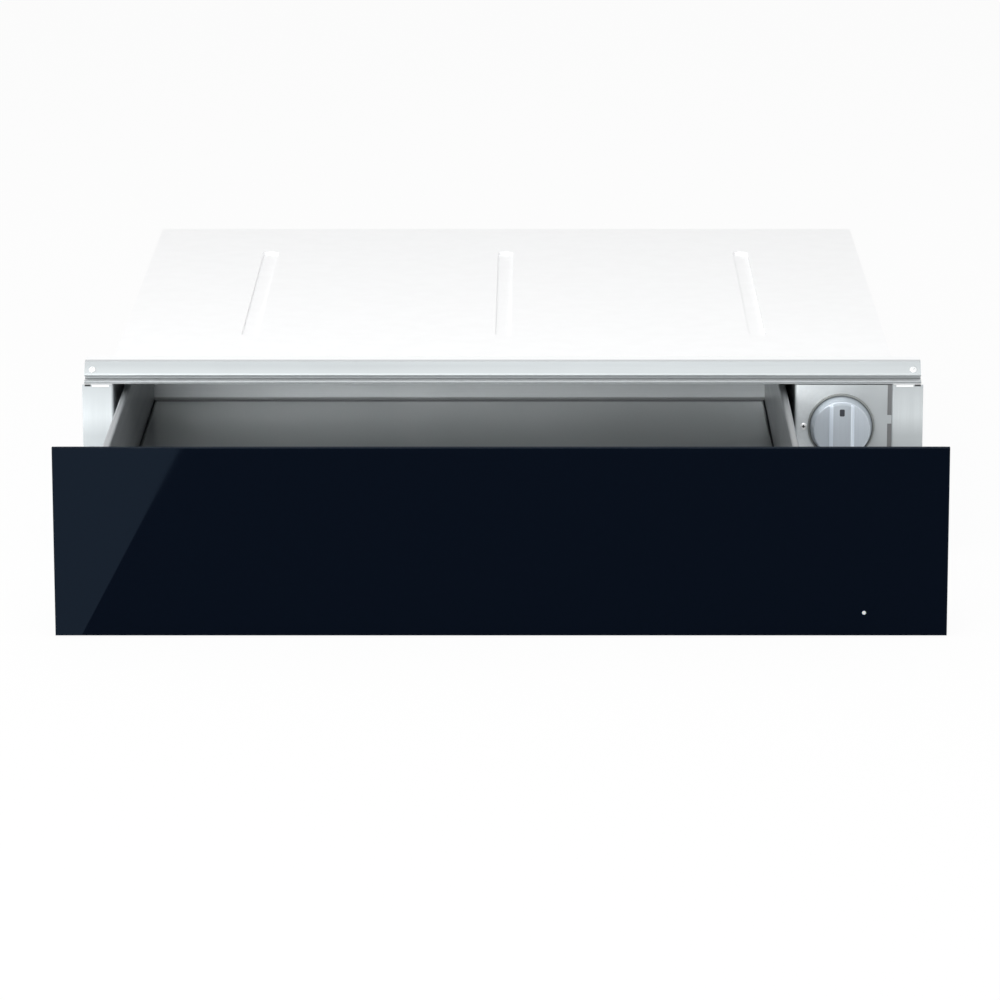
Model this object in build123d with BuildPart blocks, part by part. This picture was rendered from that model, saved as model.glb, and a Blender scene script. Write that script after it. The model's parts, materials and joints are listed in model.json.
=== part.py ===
"""A built-in warming drawer, 14 cm size, shown with its drawer part open.

Frame: the origin is the middle of the niche's front edge, on the niche floor. +X is to the
right, +Y is into the cabinet and +Z is up. The cabinet's front plane is Y = 0, and the
drawer opens towards -Y. All sizes are in millimetres.
"""

from build123d import *
import math
import os

# ---------------------------------------------------------------- driving dimensions
# Housing, the fixed box in the niche
BODY_WIDTH = 550.0
BODY_DEPTH = 525.0
BODY_HEIGHT = 138.9
SHEET = 1.0
BEND = 1.6
CUT = 1.0
FLANGE_WIDTH = 21.0
FLANGE_GAP = 0.5
SCREW_HOLE_RADIUS = 2.2
LOW_SCREW_HEIGHT = 35.0
HIGH_SCREW_HEIGHT = 74.0
PAD_INSET = 3.0
PAD_SIZE = (12.0, 1.4)
PAD_RISE = 0.5
NOTCH_INSET = 2.1
NOTCH_SIZE = (3.6, 0.9)
PAN_UPTURN = 6.4
SCREW_HEAD_RADIUS = 2.6
SCREW_HEAD_HEIGHT = 1.6
PANEL_RETURN = 12.0
HOUSING_SCREW_PITCH = 200.0
BEAD_WIDTH = 14.0
BEAD_LENGTH = 330.0
BEAD_HEIGHT = 3.5
BEAD_PITCH = 112.0
CONTROL_WIDTH = 68.0
FAN_SPACE = 67.0

# Trim strip over the drawer, one folded sheet
TRIM_SHEET = 0.8
TRIM_BEND = 1.0
TRIM_HEIGHT = 9.3
TRIM_LEAN = 9.0
TRIM_OVERLAP = 16.0
TRIM_PLAY = 0.3
TRIM_SETBACK = 2.0
TRIM_INSET = 1.5
GROOVE_HEIGHT = 2.9
GROOVE_DEPTH = 6.0
LIP_HEIGHT = 2.3
LIP_RETURN = 5.0
LIP_CLEARANCE = 5.8

# Drawer front
FRONT_OVERHANG = 1.5
FRONT_LIFT = 0.5
FRONT_GAP = 0.6
FRONT_DEPTH = 21.5
GLASS_THICKNESS = 4.0
GLASS_CHAMFER = 0.6
BEZEL_DEPTH = 4.5
BEZEL_WIDTH = 9.0
BEZEL_INSET = 0.8
BEZEL_CORNER = 2.0
BEZEL_CHAMFER = 0.8
CARRIER_SHEET = 1.2
CARRIER_PLAY = 0.5
CARRIER_GAP = 4.5
CARRIER_CORNER = 3.0
CARRIER_SIDE_LEFT = 1.0
CARRIER_SIDE_RIGHT = 2.0
ARM_HEIGHT = 50.0
BUMPER_RADIUS = 4.5
BUMPER_INSET = 8.0
BUMPER_EDGE = 6.0
BUMPER_AIR = 0.3
BUMPER_CHAMFER = 1.2

# Drawer bin
REST_OPENING = 201.5
BIN_PLAY = 5.5
BIN_REAR_AIR = 7.5
BIN_WALL = 5.0
BIN_SHEET = 0.8
BIN_BEND = 2.2
BIN_FLANGE = 24.0
FLOOR_THICKNESS = 3.0
SEAL_WIDTH = 10.0
SEAL_JOINT = 1.3
SEAL_DROP = 0.4
PLATE_CHAMFER = 0.3
MAT_PLAY = 2.0
MAT_THICKNESS = 3.1
DECK_BEND = 2.0
SKIRT_LIFT = 8.0
TAIL_LIFT = 31.0

# Telescopic slides, sizes across the slide from the wall and up and down from its middle
SLIDE_REAR_AIR = 4.0
SLIDE_HEIGHT = 45.0
SLIDE_WIDTH = 12.4
SLIDE_SETBACK = 4.0
SLIDE_LIFT = 7.0
SLIDE_CLEARANCE = 1.0
RAIL_SHEET = 1.2
RAIL_GAP = 0.8
RAIL_BEND = 1.6
OUTER_REACH = 9.2
OUTER_LIP = 3.5
RACE = 3.8
INNER_RACE = 3.4
BALL_RADIUS = 1.4
BALL_HOLE_PLAY = 0.1
MIDDLE_OFFSET = 2.0
MIDDLE_LIP = 2.8
INNER_REACH = 6.0
OUTER_BALL = 5.4
INNER_BALL = 7.1
OUTER_CAGE = (1.9, 7.6)
INNER_CAGE = (4.9, 8.9)
CAGE_BEND = 0.65
BALLS_PER_ROW = 3
BALL_PITCH = 75.0
CAGE_SHEET = 0.5
CAGE_END = 15.0
CAGE_START = 129.0
RIVET_RADIUS = 3.0
RIVET_HEIGHT = 1.2
RIVET_PITCH = 190.0
RIVET_CHAMFER = 0.6
HEAD_TAPER = 25.0

# Controls
KNOB_OFFSET = 32.3
KNOB_DROP = 34.8
KNOB_REACH = 15.0
KNOB_RADIUS = 19.9
KNOB_BASE_RADIUS = 22.0
KNOB_WALL = 1.8
GRIP_WIDTH = 15.6
GRIP_RISE = 3.6
GRIP_INSET = 0.3
GRIP_TAPER = 4.0
KNOB_FILLET = 0.9
POINTER_WIDTH = 3.5
POINTER_LENGTH = 5.0
POINTER_RADIUS = 12.7
POINTER_DEPTH = 0.4
POINTER_CORNER = 0.8
COLLAR_RADIUS = 23.5
COLLAR_DEPTH = 3.2
COLLAR_FLOOR = 1.2
COLLAR_PLAY = 0.4
COLLAR_CHAMFER = 0.5
SHAFT_RADIUS = 3.0
SHAFT_ENTRY = 10.0
RUNNING_FIT = 0.05
BUSHING_RADIUS = 4.8
BUSHING_PLAY = 0.2
FASCIA_SLOT = 3.0
FASCIA_RETURN = 14.0
FASCIA_BEND = 2.0
FASCIA_FOOT_INSET = 4.0
TAB_DROP = 30.0
TAB_HEIGHT = 6.0
FASCIA_SCREW_INSET = 6.0
FASCIA_SCREW_DROP = 34.0
FRONT_SCREW_RADIUS = 1.9
FRONT_SCREW_HEIGHT = 0.8
FRONT_SOCKET_RADIUS = 0.8
FRONT_SOCKET_DEPTH = 0.4
TRIM_SCREW_INSET = 7.0
TRIM_SCREW_RISE = 4.2
LAMP_OFFSET = 36.0
LAMP_HEIGHT = 16.3
LAMP_RADIUS = 1.3
LAMP_BODY_RADIUS = 4.0
LAMP_BODY_LENGTH = 12.0
LAMP_LENS_RADIUS = 2.8
LAMP_LENS_LENGTH = 2.0
PIPE_RADIUS = 2.2
THERMOSTAT_WIDTH = 36.0
THERMOSTAT_HEIGHT = 32.0
THERMOSTAT_DEPTH = 23.0
THERMOSTAT_CORNER = 3.0
TERMINAL_WIDTH = 6.3
TERMINAL_SHEET = 0.8
TERMINAL_LENGTH = 9.0
TERMINAL_PITCH = 14.0

# Heating and air
HEATER_RADIUS = 3.25
HEATER_HEIGHT = 24.0
HEATER_RUNS = 4
HEATER_PITCH = 80.0
HEATER_FRONT = 90.0
HEATER_REAR_GAP = 48.0
HEATER_TAIL_REACH = 18.0
HEATER_FIT = 0.1
BRACKET_RIM = 1.5
BRACKET_INSET = 60.0
SHIELD_SHEET = 0.6
SHIELD_MARGIN = 24.0
SHIELD_UPTURN = 8.0
FAN_RADIUS = 40.0
FAN_DROP = 53.9
FAN_WIDTH = 20.0
FAN_BLADES = 24
FAN_BLADE_SHEET = 0.8
FAN_SHAFT_RADIUS = 2.0
FAN_HUB_RADIUS = 6.0
FAN_HUB_LENGTH = 9.0
FAN_DISC = 1.0
FAN_RING = 10.0
FAN_RING_SHEET = 2.0
FAN_BLADE_WIDTH = 10.0
FAN_BLADE_INSET = 6.0
FAN_BLADE_ANGLE = 35.0
FAN_BACK_AIR = 4.0
SCROLL_AIR = 6.0
SCROLL_DEPTH = 30.0
SCROLL_RISE = 6.0
PLENUM_LENGTH = 174.0
PLENUM_HEIGHT = 25.0
MOTOR_WIDTH = 56.0
MOTOR_HEIGHT = 46.0
MOTOR_DEPTH = 16.0
MOTOR_STANDOFF = 6.0
MOTOR_CORNER = 4.0
MOTOR_POST_RADIUS = 2.5
MOTOR_BEARING_RADIUS = 9.0
MOTOR_BEARING_LENGTH = 4.0
MOTOR_NOSE_RADIUS = 5.0
MOTOR_NOSE_LENGTH = 3.0
GLAND_INSET = 34.0
GLAND_HEIGHT = 30.0
GLAND_RADIUS = 4.0
GLAND_NECK_RADIUS = 7.0
GLAND_HEAD_RADIUS = 9.5
GLAND_HEX_LENGTH = 3.0
GLAND_CAP_RADIUS = 7.6
GLAND_HEAD_LENGTH = 5.0
GLAND_NUT_LENGTH = 3.0
GLAND_CHAMFER = 1.5
BLOCK_SIZE = (48.0, 22.0, 21.0)
BLOCK_OFFSET = 4.0
BLOCK_SETBACK = 18.0
WELL_SIZE = 6.2
WELL_DEPTH = 8.0
WELL_PITCH = (14.0, 11.0)
VENT_COUNT = 7
VENT_PITCH = 9.0
VENT_LENGTH = 60.0
VENT_HEIGHT = 4.0
INTAKE_PITCH = 8.0
INTAKE_LENGTH = 48.0
INTAKE_HEIGHT = 4.5
OUTLET_COUNT = 4
OUTLET_PITCH = 26.0
OUTLET_LENGTH = 22.0
OUTLET_HEIGHT = 8.0
OUTLET_SHIFT = 22.0
OUTLET_DROP = 6.25
SWITCH_OFFSET = 124.0
LATCH_OFFSET = 56.0
PUSH_DROP = 12.0
BUTTON_RADIUS = 3.0
LATCH_RADIUS = 4.0
PUSH_AIR = 0.5
PUSH_PLAY = 0.4
STRIKER_THICKNESS = 1.5
STRIKER_LATCH = (20.0, 18.0)
STRIKER_SWITCH = (16.0, 14.0)
SWITCH_SIZE = (28.0, 18.0, 12.0)
SWITCH_BORE = 14.0
BUTTON_INSIDE = 8.0
BUTTON_CHAMFER = 1.0
LATCH_SIZE = (26.0, 44.0, 16.0)
LATCH_CORNER = 2.0
LATCH_BORE = 38.0
PLUNGER_INSIDE = 26.0
PLUNGER_CHAMFER = 1.5
LIMITER_RADIUS = 9.0
LIMITER_LENGTH = 9.0
LIMITER_EARS = (36.0, 8.0)
SENSOR_RADIUS = 2.0
SENSOR_STANDOFF = 2.5
SENSOR_DROP = 41.9
SENSOR_START = 60.0
SENSOR_LENGTH = 70.0
CLIP_WIDTH = 6.0
CLIP_PLACES = (72.0, 112.0)
CLIP_HEIGHT = 12.0
CLIP_COVER = 0.6

# ---------------------------------------------------------------- derived places
half_body = BODY_WIDTH / 2
inner_half = half_body - SHEET
half_frame = half_body + FLANGE_WIDTH
front_width = 2 * (half_frame + FRONT_OVERHANG)
flange_face = -SHEET
wall_top = BODY_HEIGHT - SHEET
back_return = BODY_DEPTH - 2 * SHEET
pan_rear = back_return - BEND
seat_top = BODY_HEIGHT - TRIM_SHEET
seat_end = TRIM_LEAN + TRIM_OVERLAP + TRIM_PLAY
trim_bend_z = BODY_HEIGHT - TRIM_HEIGHT
groove_bottom = trim_bend_z - GROOVE_HEIGHT
lip_bottom = groove_bottom - LIP_HEIGHT
flange_top = lip_bottom - FLANGE_GAP
front_top = trim_bend_z - FRONT_GAP
front_height = front_top - FRONT_LIFT

chamber_left = -inner_half
chamber_right = inner_half - CONTROL_WIDTH
chamber_middle = (chamber_left + chamber_right) / 2
chamber_depth = BODY_DEPTH - FAN_SPACE
compartment_front = chamber_depth + SHEET
rim = lip_bottom - LIP_CLEARANCE

# Y places of the drawer as it stands open
glass_face = flange_face - FRONT_DEPTH - REST_OPENING
glass_back = glass_face + GLASS_THICKNESS
carrier_back = flange_face - CARRIER_GAP - REST_OPENING
bin_front_y = carrier_back + BIN_SHEET
bin_rear_y = chamber_depth - BIN_REAR_AIR - REST_OPENING
bin_rear_inner = bin_rear_y - BIN_WALL
bin_left = chamber_left + BIN_PLAY
bin_right = chamber_right - BIN_PLAY
bin_width = bin_right - bin_left
closed_rear_y = bin_rear_y + REST_OPENING

slide_z = SLIDE_LIFT + SLIDE_HEIGHT / 2
rail_rear = chamber_depth - SLIDE_REAR_AIR
slide_length = rail_rear - SLIDE_SETBACK
skirt_left = chamber_left + SLIDE_WIDTH
skirt_right = chamber_right - SLIDE_WIDTH
deck_top = SLIDE_LIFT + SLIDE_HEIGHT + SLIDE_CLEARANCE + SHEET
plate_bottom = deck_top + MAT_THICKNESS
floor_top = plate_bottom + FLOOR_THICKNESS

knob_x = chamber_right + KNOB_OFFSET
knob_z = front_top - KNOB_DROP
lamp_x = chamber_right + LAMP_OFFSET
gland_x = inner_half - GLAND_INSET
block_y = compartment_front - BLOCK_SETBACK
switch_x = chamber_left + SWITCH_OFFSET
latch_x = chamber_right - LATCH_OFFSET
push_z = deck_top - PUSH_DROP
sensor_z = wall_top - SENSOR_DROP
heater_rear = chamber_depth - HEATER_REAR_GAP
heater_tail = chamber_depth + HEATER_TAIL_REACH
fan_x = chamber_middle
fan_z = wall_top - FAN_DROP
scroll_radius = FAN_RADIUS + SCROLL_AIR
fascia_right = inner_half - FASCIA_SLOT
tab_z = front_top - TAB_DROP
bezel_half = front_width / 2 - BEZEL_INSET
bezel_bottom = FRONT_LIFT + BEZEL_INSET
bezel_top = front_top - BEZEL_INSET

os.makedirs("parts", exist_ok=True)


# ---------------------------------------------------------------- helpers
def keep(builder, label):
    """Label a finished piece and write it."""
    builder.part.label = label
    export_step(builder.part, f"parts/{label}.step")


def block(x, y, z, mode=Mode.ADD):
    """A straight-sided block between the pairs x, y and z."""
    with BuildSketch(Plane.XY.offset(z[0])) as foot:
        with Locations(((x[0] + x[1]) / 2, (y[0] + y[1]) / 2)):
            Rectangle(x[1] - x[0], y[1] - y[0])
    extrude(foot.sketch, amount=z[1] - z[0], mode=mode)


def folded(plane, outline, thickness, length, bend=BEND, side=Side.RIGHT):
    """A bent sheet: its outline is the outer skin, thickened to one side and drawn out along the normal."""
    with BuildSketch(plane) as section:
        with BuildLine():
            FilletPolyline(*outline, radius=bend)
            offset(amount=thickness, side=side)
        make_face()
    extrude(section.sketch, amount=length)


def rod(plane, centre, radius, length, mode=Mode.ADD):
    """A round bar standing on the plane at one point, along its normal."""
    with BuildSketch(plane) as disc:
        with Locations(centre):
            Circle(radius)
    extrude(disc.sketch, amount=length, mode=mode)


def across(x):
    """The plane at one X, with Y to its right, Z up and its normal along +X."""
    return Plane((x, 0, 0), x_dir=(0, 1, 0), z_dir=(1, 0, 0))


def facing(y):
    """The plane at one Y, with X to its right, Z up and its normal towards the front."""
    return Plane((0, y, 0), x_dir=(1, 0, 0), z_dir=(0, -1, 0))


# ---------------------------------------------------------------- housing
with BuildPart() as base_pan:
    folded(
        facing(pan_rear),
        [(-inner_half, PAN_UPTURN), (-inner_half, 0), (inner_half, 0), (inner_half, PAN_UPTURN)],
        SHEET, pan_rear - flange_face, side=Side.LEFT)
    block((BEND - inner_half, chamber_right), (flange_face, flange_face + SHEET), (0, PAN_UPTURN))
    block((BEND - inner_half, inner_half - BEND), (pan_rear - SHEET, pan_rear), (0, PAN_UPTURN))
    with BuildSketch() as beads:
        with Locations((chamber_middle, (HEATER_FRONT + heater_rear) / 2)):
            with GridLocations(BEAD_PITCH, 0, 3, 1):
                SlotOverall(BEAD_LENGTH, BEAD_WIDTH, rotation=90)
    extrude(beads.sketch, amount=BEAD_HEIGHT)
    with BuildSketch() as bead_hollows:
        with Locations((chamber_middle, (HEATER_FRONT + heater_rear) / 2)):
            with GridLocations(BEAD_PITCH, 0, 3, 1):
                SlotOverall(BEAD_LENGTH - 2 * SHEET, BEAD_WIDTH - 2 * SHEET, rotation=90)
    extrude(bead_hollows.sketch, amount=BEAD_HEIGHT - SHEET, mode=Mode.SUBTRACT)
keep(base_pan, "base_pan")


def side_panel(label, hand):
    """One side of the housing with its screw flange in front and its returns at the back and top."""
    with BuildPart() as panel:
        folded(
            Plane.XY,
            [(hand * half_frame, flange_face), (hand * inner_half, flange_face),
             (hand * inner_half, back_return), (hand * (inner_half - PANEL_RETURN), back_return)],
            SHEET, wall_top, side=Side.RIGHT if hand > 0 else Side.LEFT)
        # the trim strip's seat above the flange
        seat = sorted((hand * (inner_half - 2 * SHEET), hand * (half_frame + CUT)))
        block(seat, (flange_face - CUT, TRIM_LEAN + TRIM_SETBACK), (flange_top, wall_top), mode=Mode.SUBTRACT)
        ledge = sorted((hand * (inner_half - PANEL_RETURN), hand * inner_half))
        block(ledge, (seat_end + SHEET + TRIM_PLAY, back_return), (wall_top - SHEET, wall_top))
        # a raised pad at the flange's top, and a notch beside it
        pad = sorted((hand * (inner_half + PAD_INSET), hand * (inner_half + PAD_INSET + PAD_SIZE[0])))
        block(pad, (flange_face - PAD_RISE, flange_face), (flange_top - PAD_SIZE[1], flange_top))
        notch_end = half_frame - NOTCH_INSET
        block(sorted((hand * notch_end, hand * (notch_end - NOTCH_SIZE[0]))), (flange_face - CUT, CUT),
              (flange_top - NOTCH_SIZE[1], flange_top + CUT), mode=Mode.SUBTRACT)
        for height in (LOW_SCREW_HEIGHT, HIGH_SCREW_HEIGHT):
            rod(facing(CUT), (hand * (half_body + FLANGE_WIDTH / 2), height), SCREW_HOLE_RADIUS,
                SHEET + 2 * CUT, mode=Mode.SUBTRACT)
    keep(panel, label)


side_panel("side_panel_left", -1)
side_panel("side_panel_right", 1)

with BuildPart() as top_cover:
    block((-half_body, half_body), (seat_end, BODY_DEPTH), (wall_top, BODY_HEIGHT))
    # a step down in front, on which the trim strip lies flush
    seat_width = (TRIM_PLAY - inner_half, inner_half - TRIM_PLAY)
    block(seat_width, (seat_end, seat_end + SHEET), (seat_top - SHEET, wall_top))
    block(seat_width, (TRIM_LEAN + TRIM_SETBACK, seat_end), (seat_top - SHEET, seat_top))
    with BuildSketch(Plane.XY.offset(BODY_HEIGHT - BEAD_HEIGHT)) as ribs:
        with Locations((0, BODY_DEPTH / 2)):
            with GridLocations(BODY_WIDTH / 3, 0, 3, 1):
                SlotOverall(BEAD_LENGTH, BEAD_WIDTH, rotation=90)
    extrude(ribs.sketch, amount=BEAD_HEIGHT - SHEET)
    with BuildSketch(Plane.XY.offset(BODY_HEIGHT)) as rib_hollows:
        with Locations((0, BODY_DEPTH / 2)):
            with GridLocations(BODY_WIDTH / 3, 0, 3, 1):
                SlotOverall(BEAD_LENGTH - 2 * SHEET, BEAD_WIDTH - 2 * SHEET, rotation=90)
    extrude(rib_hollows.sketch, amount=SHEET - BEAD_HEIGHT, mode=Mode.SUBTRACT)
keep(top_cover, "top_cover")

with BuildPart() as rear_panel:
    with BuildSketch(facing(BODY_DEPTH)) as back:
        with Locations((0, wall_top / 2)):
            Rectangle(BODY_WIDTH, wall_top)
        with Locations((fan_x, fan_z)):
            with GridLocations(0, VENT_PITCH, 1, VENT_COUNT):
                SlotOverall(VENT_LENGTH, VENT_HEIGHT, mode=Mode.SUBTRACT)
        with Locations((gland_x, GLAND_HEIGHT)):
            Circle(GLAND_NECK_RADIUS, mode=Mode.SUBTRACT)
    extrude(back.sketch, amount=SHEET)
keep(rear_panel, "rear_panel")

with BuildPart() as trim_strip:
    folded(
        across(TRIM_INSET - half_frame),
        [(TRIM_LEAN + TRIM_OVERLAP, BODY_HEIGHT), (TRIM_LEAN, BODY_HEIGHT), (flange_face, trim_bend_z),
         (GROOVE_DEPTH, trim_bend_z), (GROOVE_DEPTH, groove_bottom), (flange_face, groove_bottom),
         (flange_face, lip_bottom), (flange_face + LIP_RETURN, lip_bottom)],
        TRIM_SHEET, 2 * (half_frame - TRIM_INSET), bend=TRIM_BEND, side=Side.LEFT)
keep(trim_strip, "trim_strip")

with BuildPart() as chamber_side_wall:
    folded(
        facing(compartment_front + PANEL_RETURN),
        [(chamber_right + PANEL_RETURN, SHEET), (chamber_right, SHEET),
         (chamber_right, wall_top), (chamber_right + PANEL_RETURN, wall_top)],
        SHEET, compartment_front + PANEL_RETURN - FASCIA_RETURN)
    # room for the step of the cover
    block((chamber_right - CUT, chamber_right + PANEL_RETURN + CUT),
          (FASCIA_RETURN - CUT, seat_end + SHEET + TRIM_PLAY), (seat_top - SHEET - BEND, BODY_HEIGHT),
          mode=Mode.SUBTRACT)
keep(chamber_side_wall, "chamber_side_wall")

outlet_z = fan_z + scroll_radius - OUTLET_DROP
with BuildPart() as chamber_rear_wall:
    folded(
        Plane.XY.offset(SHEET),
        [(chamber_left + BEND, compartment_front + PANEL_RETURN), (chamber_left + BEND, chamber_depth),
         (chamber_right, chamber_depth), (chamber_right, compartment_front + PANEL_RETURN)],
        SHEET, wall_top - 2 * SHEET, side=Side.LEFT)
    with BuildSketch(facing(compartment_front + CUT)) as holes:
        with Locations((fan_x, fan_z)):
            with GridLocations(0, INTAKE_PITCH, 1, VENT_COUNT):
                SlotOverall(INTAKE_LENGTH, INTAKE_HEIGHT)
        with Locations((fan_x + PLENUM_LENGTH / 2 + OUTLET_SHIFT, outlet_z)):
            with GridLocations(OUTLET_PITCH, 0, OUTLET_COUNT, 1):
                SlotOverall(OUTLET_LENGTH, OUTLET_HEIGHT)
        for run in (0, HEATER_RUNS - 1):
            with Locations((chamber_middle + (run - (HEATER_RUNS - 1) / 2) * HEATER_PITCH, HEATER_HEIGHT)):
                Circle(HEATER_RADIUS + HEATER_FIT)
        with Locations((switch_x, push_z)):
            Circle(BUTTON_RADIUS + PUSH_PLAY)
        with Locations((latch_x, push_z)):
            Circle(LATCH_RADIUS + PUSH_PLAY)
    extrude(holes.sketch, amount=SHEET + 2 * CUT, mode=Mode.SUBTRACT)
keep(chamber_rear_wall, "chamber_rear_wall")

with BuildPart() as control_fascia:
    folded(
        Plane.XY.offset(SHEET),
        [(fascia_right, flange_face), (chamber_right, flange_face), (chamber_right, FASCIA_RETURN)],
        SHEET, flange_top - SHEET, bend=FASCIA_BEND)
    block((fascia_right - SHEET, inner_half), (flange_face, 0),
          (tab_z - TAB_HEIGHT / 2, tab_z + TAB_HEIGHT / 2))
    # the strip behind the slot, joggled back by one sheet
    block((fascia_right - SHEET, inner_half), (0, SHEET), (SHEET, flange_top))
    block((chamber_right + FASCIA_FOOT_INSET, fascia_right - FASCIA_FOOT_INSET), (-SHEET / 2, PANEL_RETURN),
          (SHEET, 2 * SHEET))
    rod(facing(CUT), (knob_x, knob_z), BUSHING_RADIUS + BUSHING_PLAY, SHEET + 2 * CUT, mode=Mode.SUBTRACT)
    rod(facing(CUT), (lamp_x, LAMP_HEIGHT), LAMP_BODY_RADIUS, SHEET + 2 * CUT, mode=Mode.SUBTRACT)
keep(control_fascia, "control_fascia")

# ---------------------------------------------------------------- controls
with BuildPart() as knob_collar:
    rod(facing(flange_face), (knob_x, knob_z), COLLAR_RADIUS, COLLAR_DEPTH)
    chamfer(knob_collar.edges().group_by(Axis.Y)[0], COLLAR_CHAMFER)
    rod(facing(flange_face - COLLAR_FLOOR), (knob_x, knob_z), KNOB_BASE_RADIUS + COLLAR_PLAY, COLLAR_DEPTH,
        mode=Mode.SUBTRACT)
    rod(facing(0), (knob_x, knob_z), BUSHING_RADIUS + BUSHING_PLAY, COLLAR_DEPTH, mode=Mode.SUBTRACT)
keep(knob_collar, "knob_collar")

knob_back = flange_face - COLLAR_FLOOR - COLLAR_PLAY
knob_front = flange_face - KNOB_REACH
grip_base = knob_front + GRIP_RISE
disc_depth = knob_back - grip_base
knob_draft = math.degrees(math.atan2(KNOB_BASE_RADIUS - KNOB_RADIUS, disc_depth))
with BuildPart() as knob:
    with BuildSketch(facing(knob_back)) as knob_foot:
        with Locations((knob_x, knob_z)):
            Circle(KNOB_BASE_RADIUS)
    extrude(knob_foot.sketch, amount=disc_depth, taper=knob_draft)
    with BuildSketch(facing(grip_base)) as grip:
        with Locations((knob_x, knob_z)):
            Circle(KNOB_RADIUS - GRIP_INSET)
            Rectangle(GRIP_WIDTH, 3 * KNOB_RADIUS, mode=Mode.INTERSECT)
    extrude(grip.sketch, amount=GRIP_RISE, taper=GRIP_TAPER)
    fillet(knob.edges().group_by(Axis.Y)[0], KNOB_FILLET)
    rod(facing(knob_back), (knob_x, knob_z), KNOB_RADIUS - KNOB_WALL, disc_depth - KNOB_WALL,
        mode=Mode.SUBTRACT)
    rod(facing(knob_back), (knob_x, knob_z), SHAFT_RADIUS + KNOB_WALL, disc_depth - KNOB_WALL / 2)
    rod(facing(knob_back), (knob_x, knob_z), SHAFT_RADIUS, disc_depth - KNOB_WALL, mode=Mode.SUBTRACT)
    with BuildSketch(facing(knob_front)) as pointer_seat:
        with Locations((knob_x, knob_z + POINTER_RADIUS)):
            RectangleRounded(POINTER_WIDTH, POINTER_LENGTH, POINTER_CORNER)
    extrude(pointer_seat.sketch, amount=-POINTER_DEPTH, mode=Mode.SUBTRACT)
keep(knob, "knob")

with BuildPart() as knob_pointer:
    extrude(pointer_seat.sketch, amount=-POINTER_DEPTH)
keep(knob_pointer, "knob_pointer")

shaft_front = knob_back - disc_depth + KNOB_WALL
shaft_length = SHAFT_ENTRY - shaft_front
with BuildPart() as knob_shaft:
    rod(facing(SHAFT_ENTRY), (knob_x, knob_z), SHAFT_RADIUS, shaft_length)
keep(knob_shaft, "knob_shaft")

with BuildPart() as thermostat:
    with BuildSketch(facing(THERMOSTAT_DEPTH)) as case:
        with Locations((knob_x, knob_z)):
            RectangleRounded(THERMOSTAT_WIDTH, THERMOSTAT_HEIGHT, THERMOSTAT_CORNER)
    extrude(case.sketch, amount=THERMOSTAT_DEPTH)
    rod(facing(0), (knob_x, knob_z), BUSHING_RADIUS, SHEET + COLLAR_FLOOR)
    with BuildSketch(facing(THERMOSTAT_DEPTH)) as terminals:
        with Locations((knob_x, knob_z)):
            with GridLocations(TERMINAL_PITCH, TERMINAL_PITCH, 2, 2):
                Rectangle(TERMINAL_WIDTH, TERMINAL_SHEET)
    extrude(terminals.sketch, amount=-TERMINAL_LENGTH)
    rod(facing(SHAFT_ENTRY + SHEET), (knob_x, knob_z), SHAFT_RADIUS + RUNNING_FIT, THERMOSTAT_DEPTH,
        mode=Mode.SUBTRACT)
keep(thermostat, "thermostat")

with BuildPart() as pilot_lamp:
    rod(facing(LAMP_BODY_LENGTH), (lamp_x, LAMP_HEIGHT), LAMP_BODY_RADIUS, LAMP_BODY_LENGTH + SHEET)
    rod(facing(flange_face), (lamp_x, LAMP_HEIGHT), LAMP_LENS_RADIUS, LAMP_LENS_LENGTH)
    chamfer(pilot_lamp.edges().group_by(Axis.Y)[0], LAMP_LENS_LENGTH / 2)
keep(pilot_lamp, "pilot_lamp")

with BuildPart() as terminal_block:
    with BuildSketch(Plane.XY.offset(SHEET)) as block_foot:
        with Locations((gland_x + BLOCK_OFFSET, block_y)):
            Rectangle(BLOCK_SIZE[0], BLOCK_SIZE[1])
    extrude(block_foot.sketch, amount=BLOCK_SIZE[2])
    with BuildSketch(Plane.XY.offset(SHEET + BLOCK_SIZE[2])) as wells:
        with Locations((gland_x + BLOCK_OFFSET, block_y)):
            with GridLocations(WELL_PITCH[0], WELL_PITCH[1], 3, 2):
                Rectangle(WELL_SIZE, WELL_SIZE)
    extrude(wells.sketch, amount=-WELL_DEPTH, mode=Mode.SUBTRACT)
keep(terminal_block, "terminal_block")

with BuildPart() as cable_gland:
    rod(facing(BODY_DEPTH - SHEET), (gland_x, GLAND_HEIGHT), GLAND_HEAD_RADIUS, GLAND_NUT_LENGTH)
    rod(facing(BODY_DEPTH + GLAND_HEAD_LENGTH), (gland_x, GLAND_HEIGHT), GLAND_CAP_RADIUS, GLAND_HEAD_LENGTH)
    chamfer(cable_gland.edges().group_by(Axis.Y)[-1], GLAND_CHAMFER)
    with BuildSketch(facing(BODY_DEPTH + GLAND_HEX_LENGTH)) as hexagon:
        with Locations((gland_x, GLAND_HEIGHT)):
            RegularPolygon(GLAND_HEAD_RADIUS, 6)
    extrude(hexagon.sketch, amount=GLAND_HEX_LENGTH)
    rod(facing(BODY_DEPTH), (gland_x, GLAND_HEIGHT), GLAND_NECK_RADIUS, SHEET)
    rod(facing(BODY_DEPTH + GLAND_HEAD_LENGTH + CUT), (gland_x, GLAND_HEIGHT), GLAND_RADIUS,
        4 * GLAND_HEAD_LENGTH, mode=Mode.SUBTRACT)
keep(cable_gland, "cable_gland")

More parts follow.
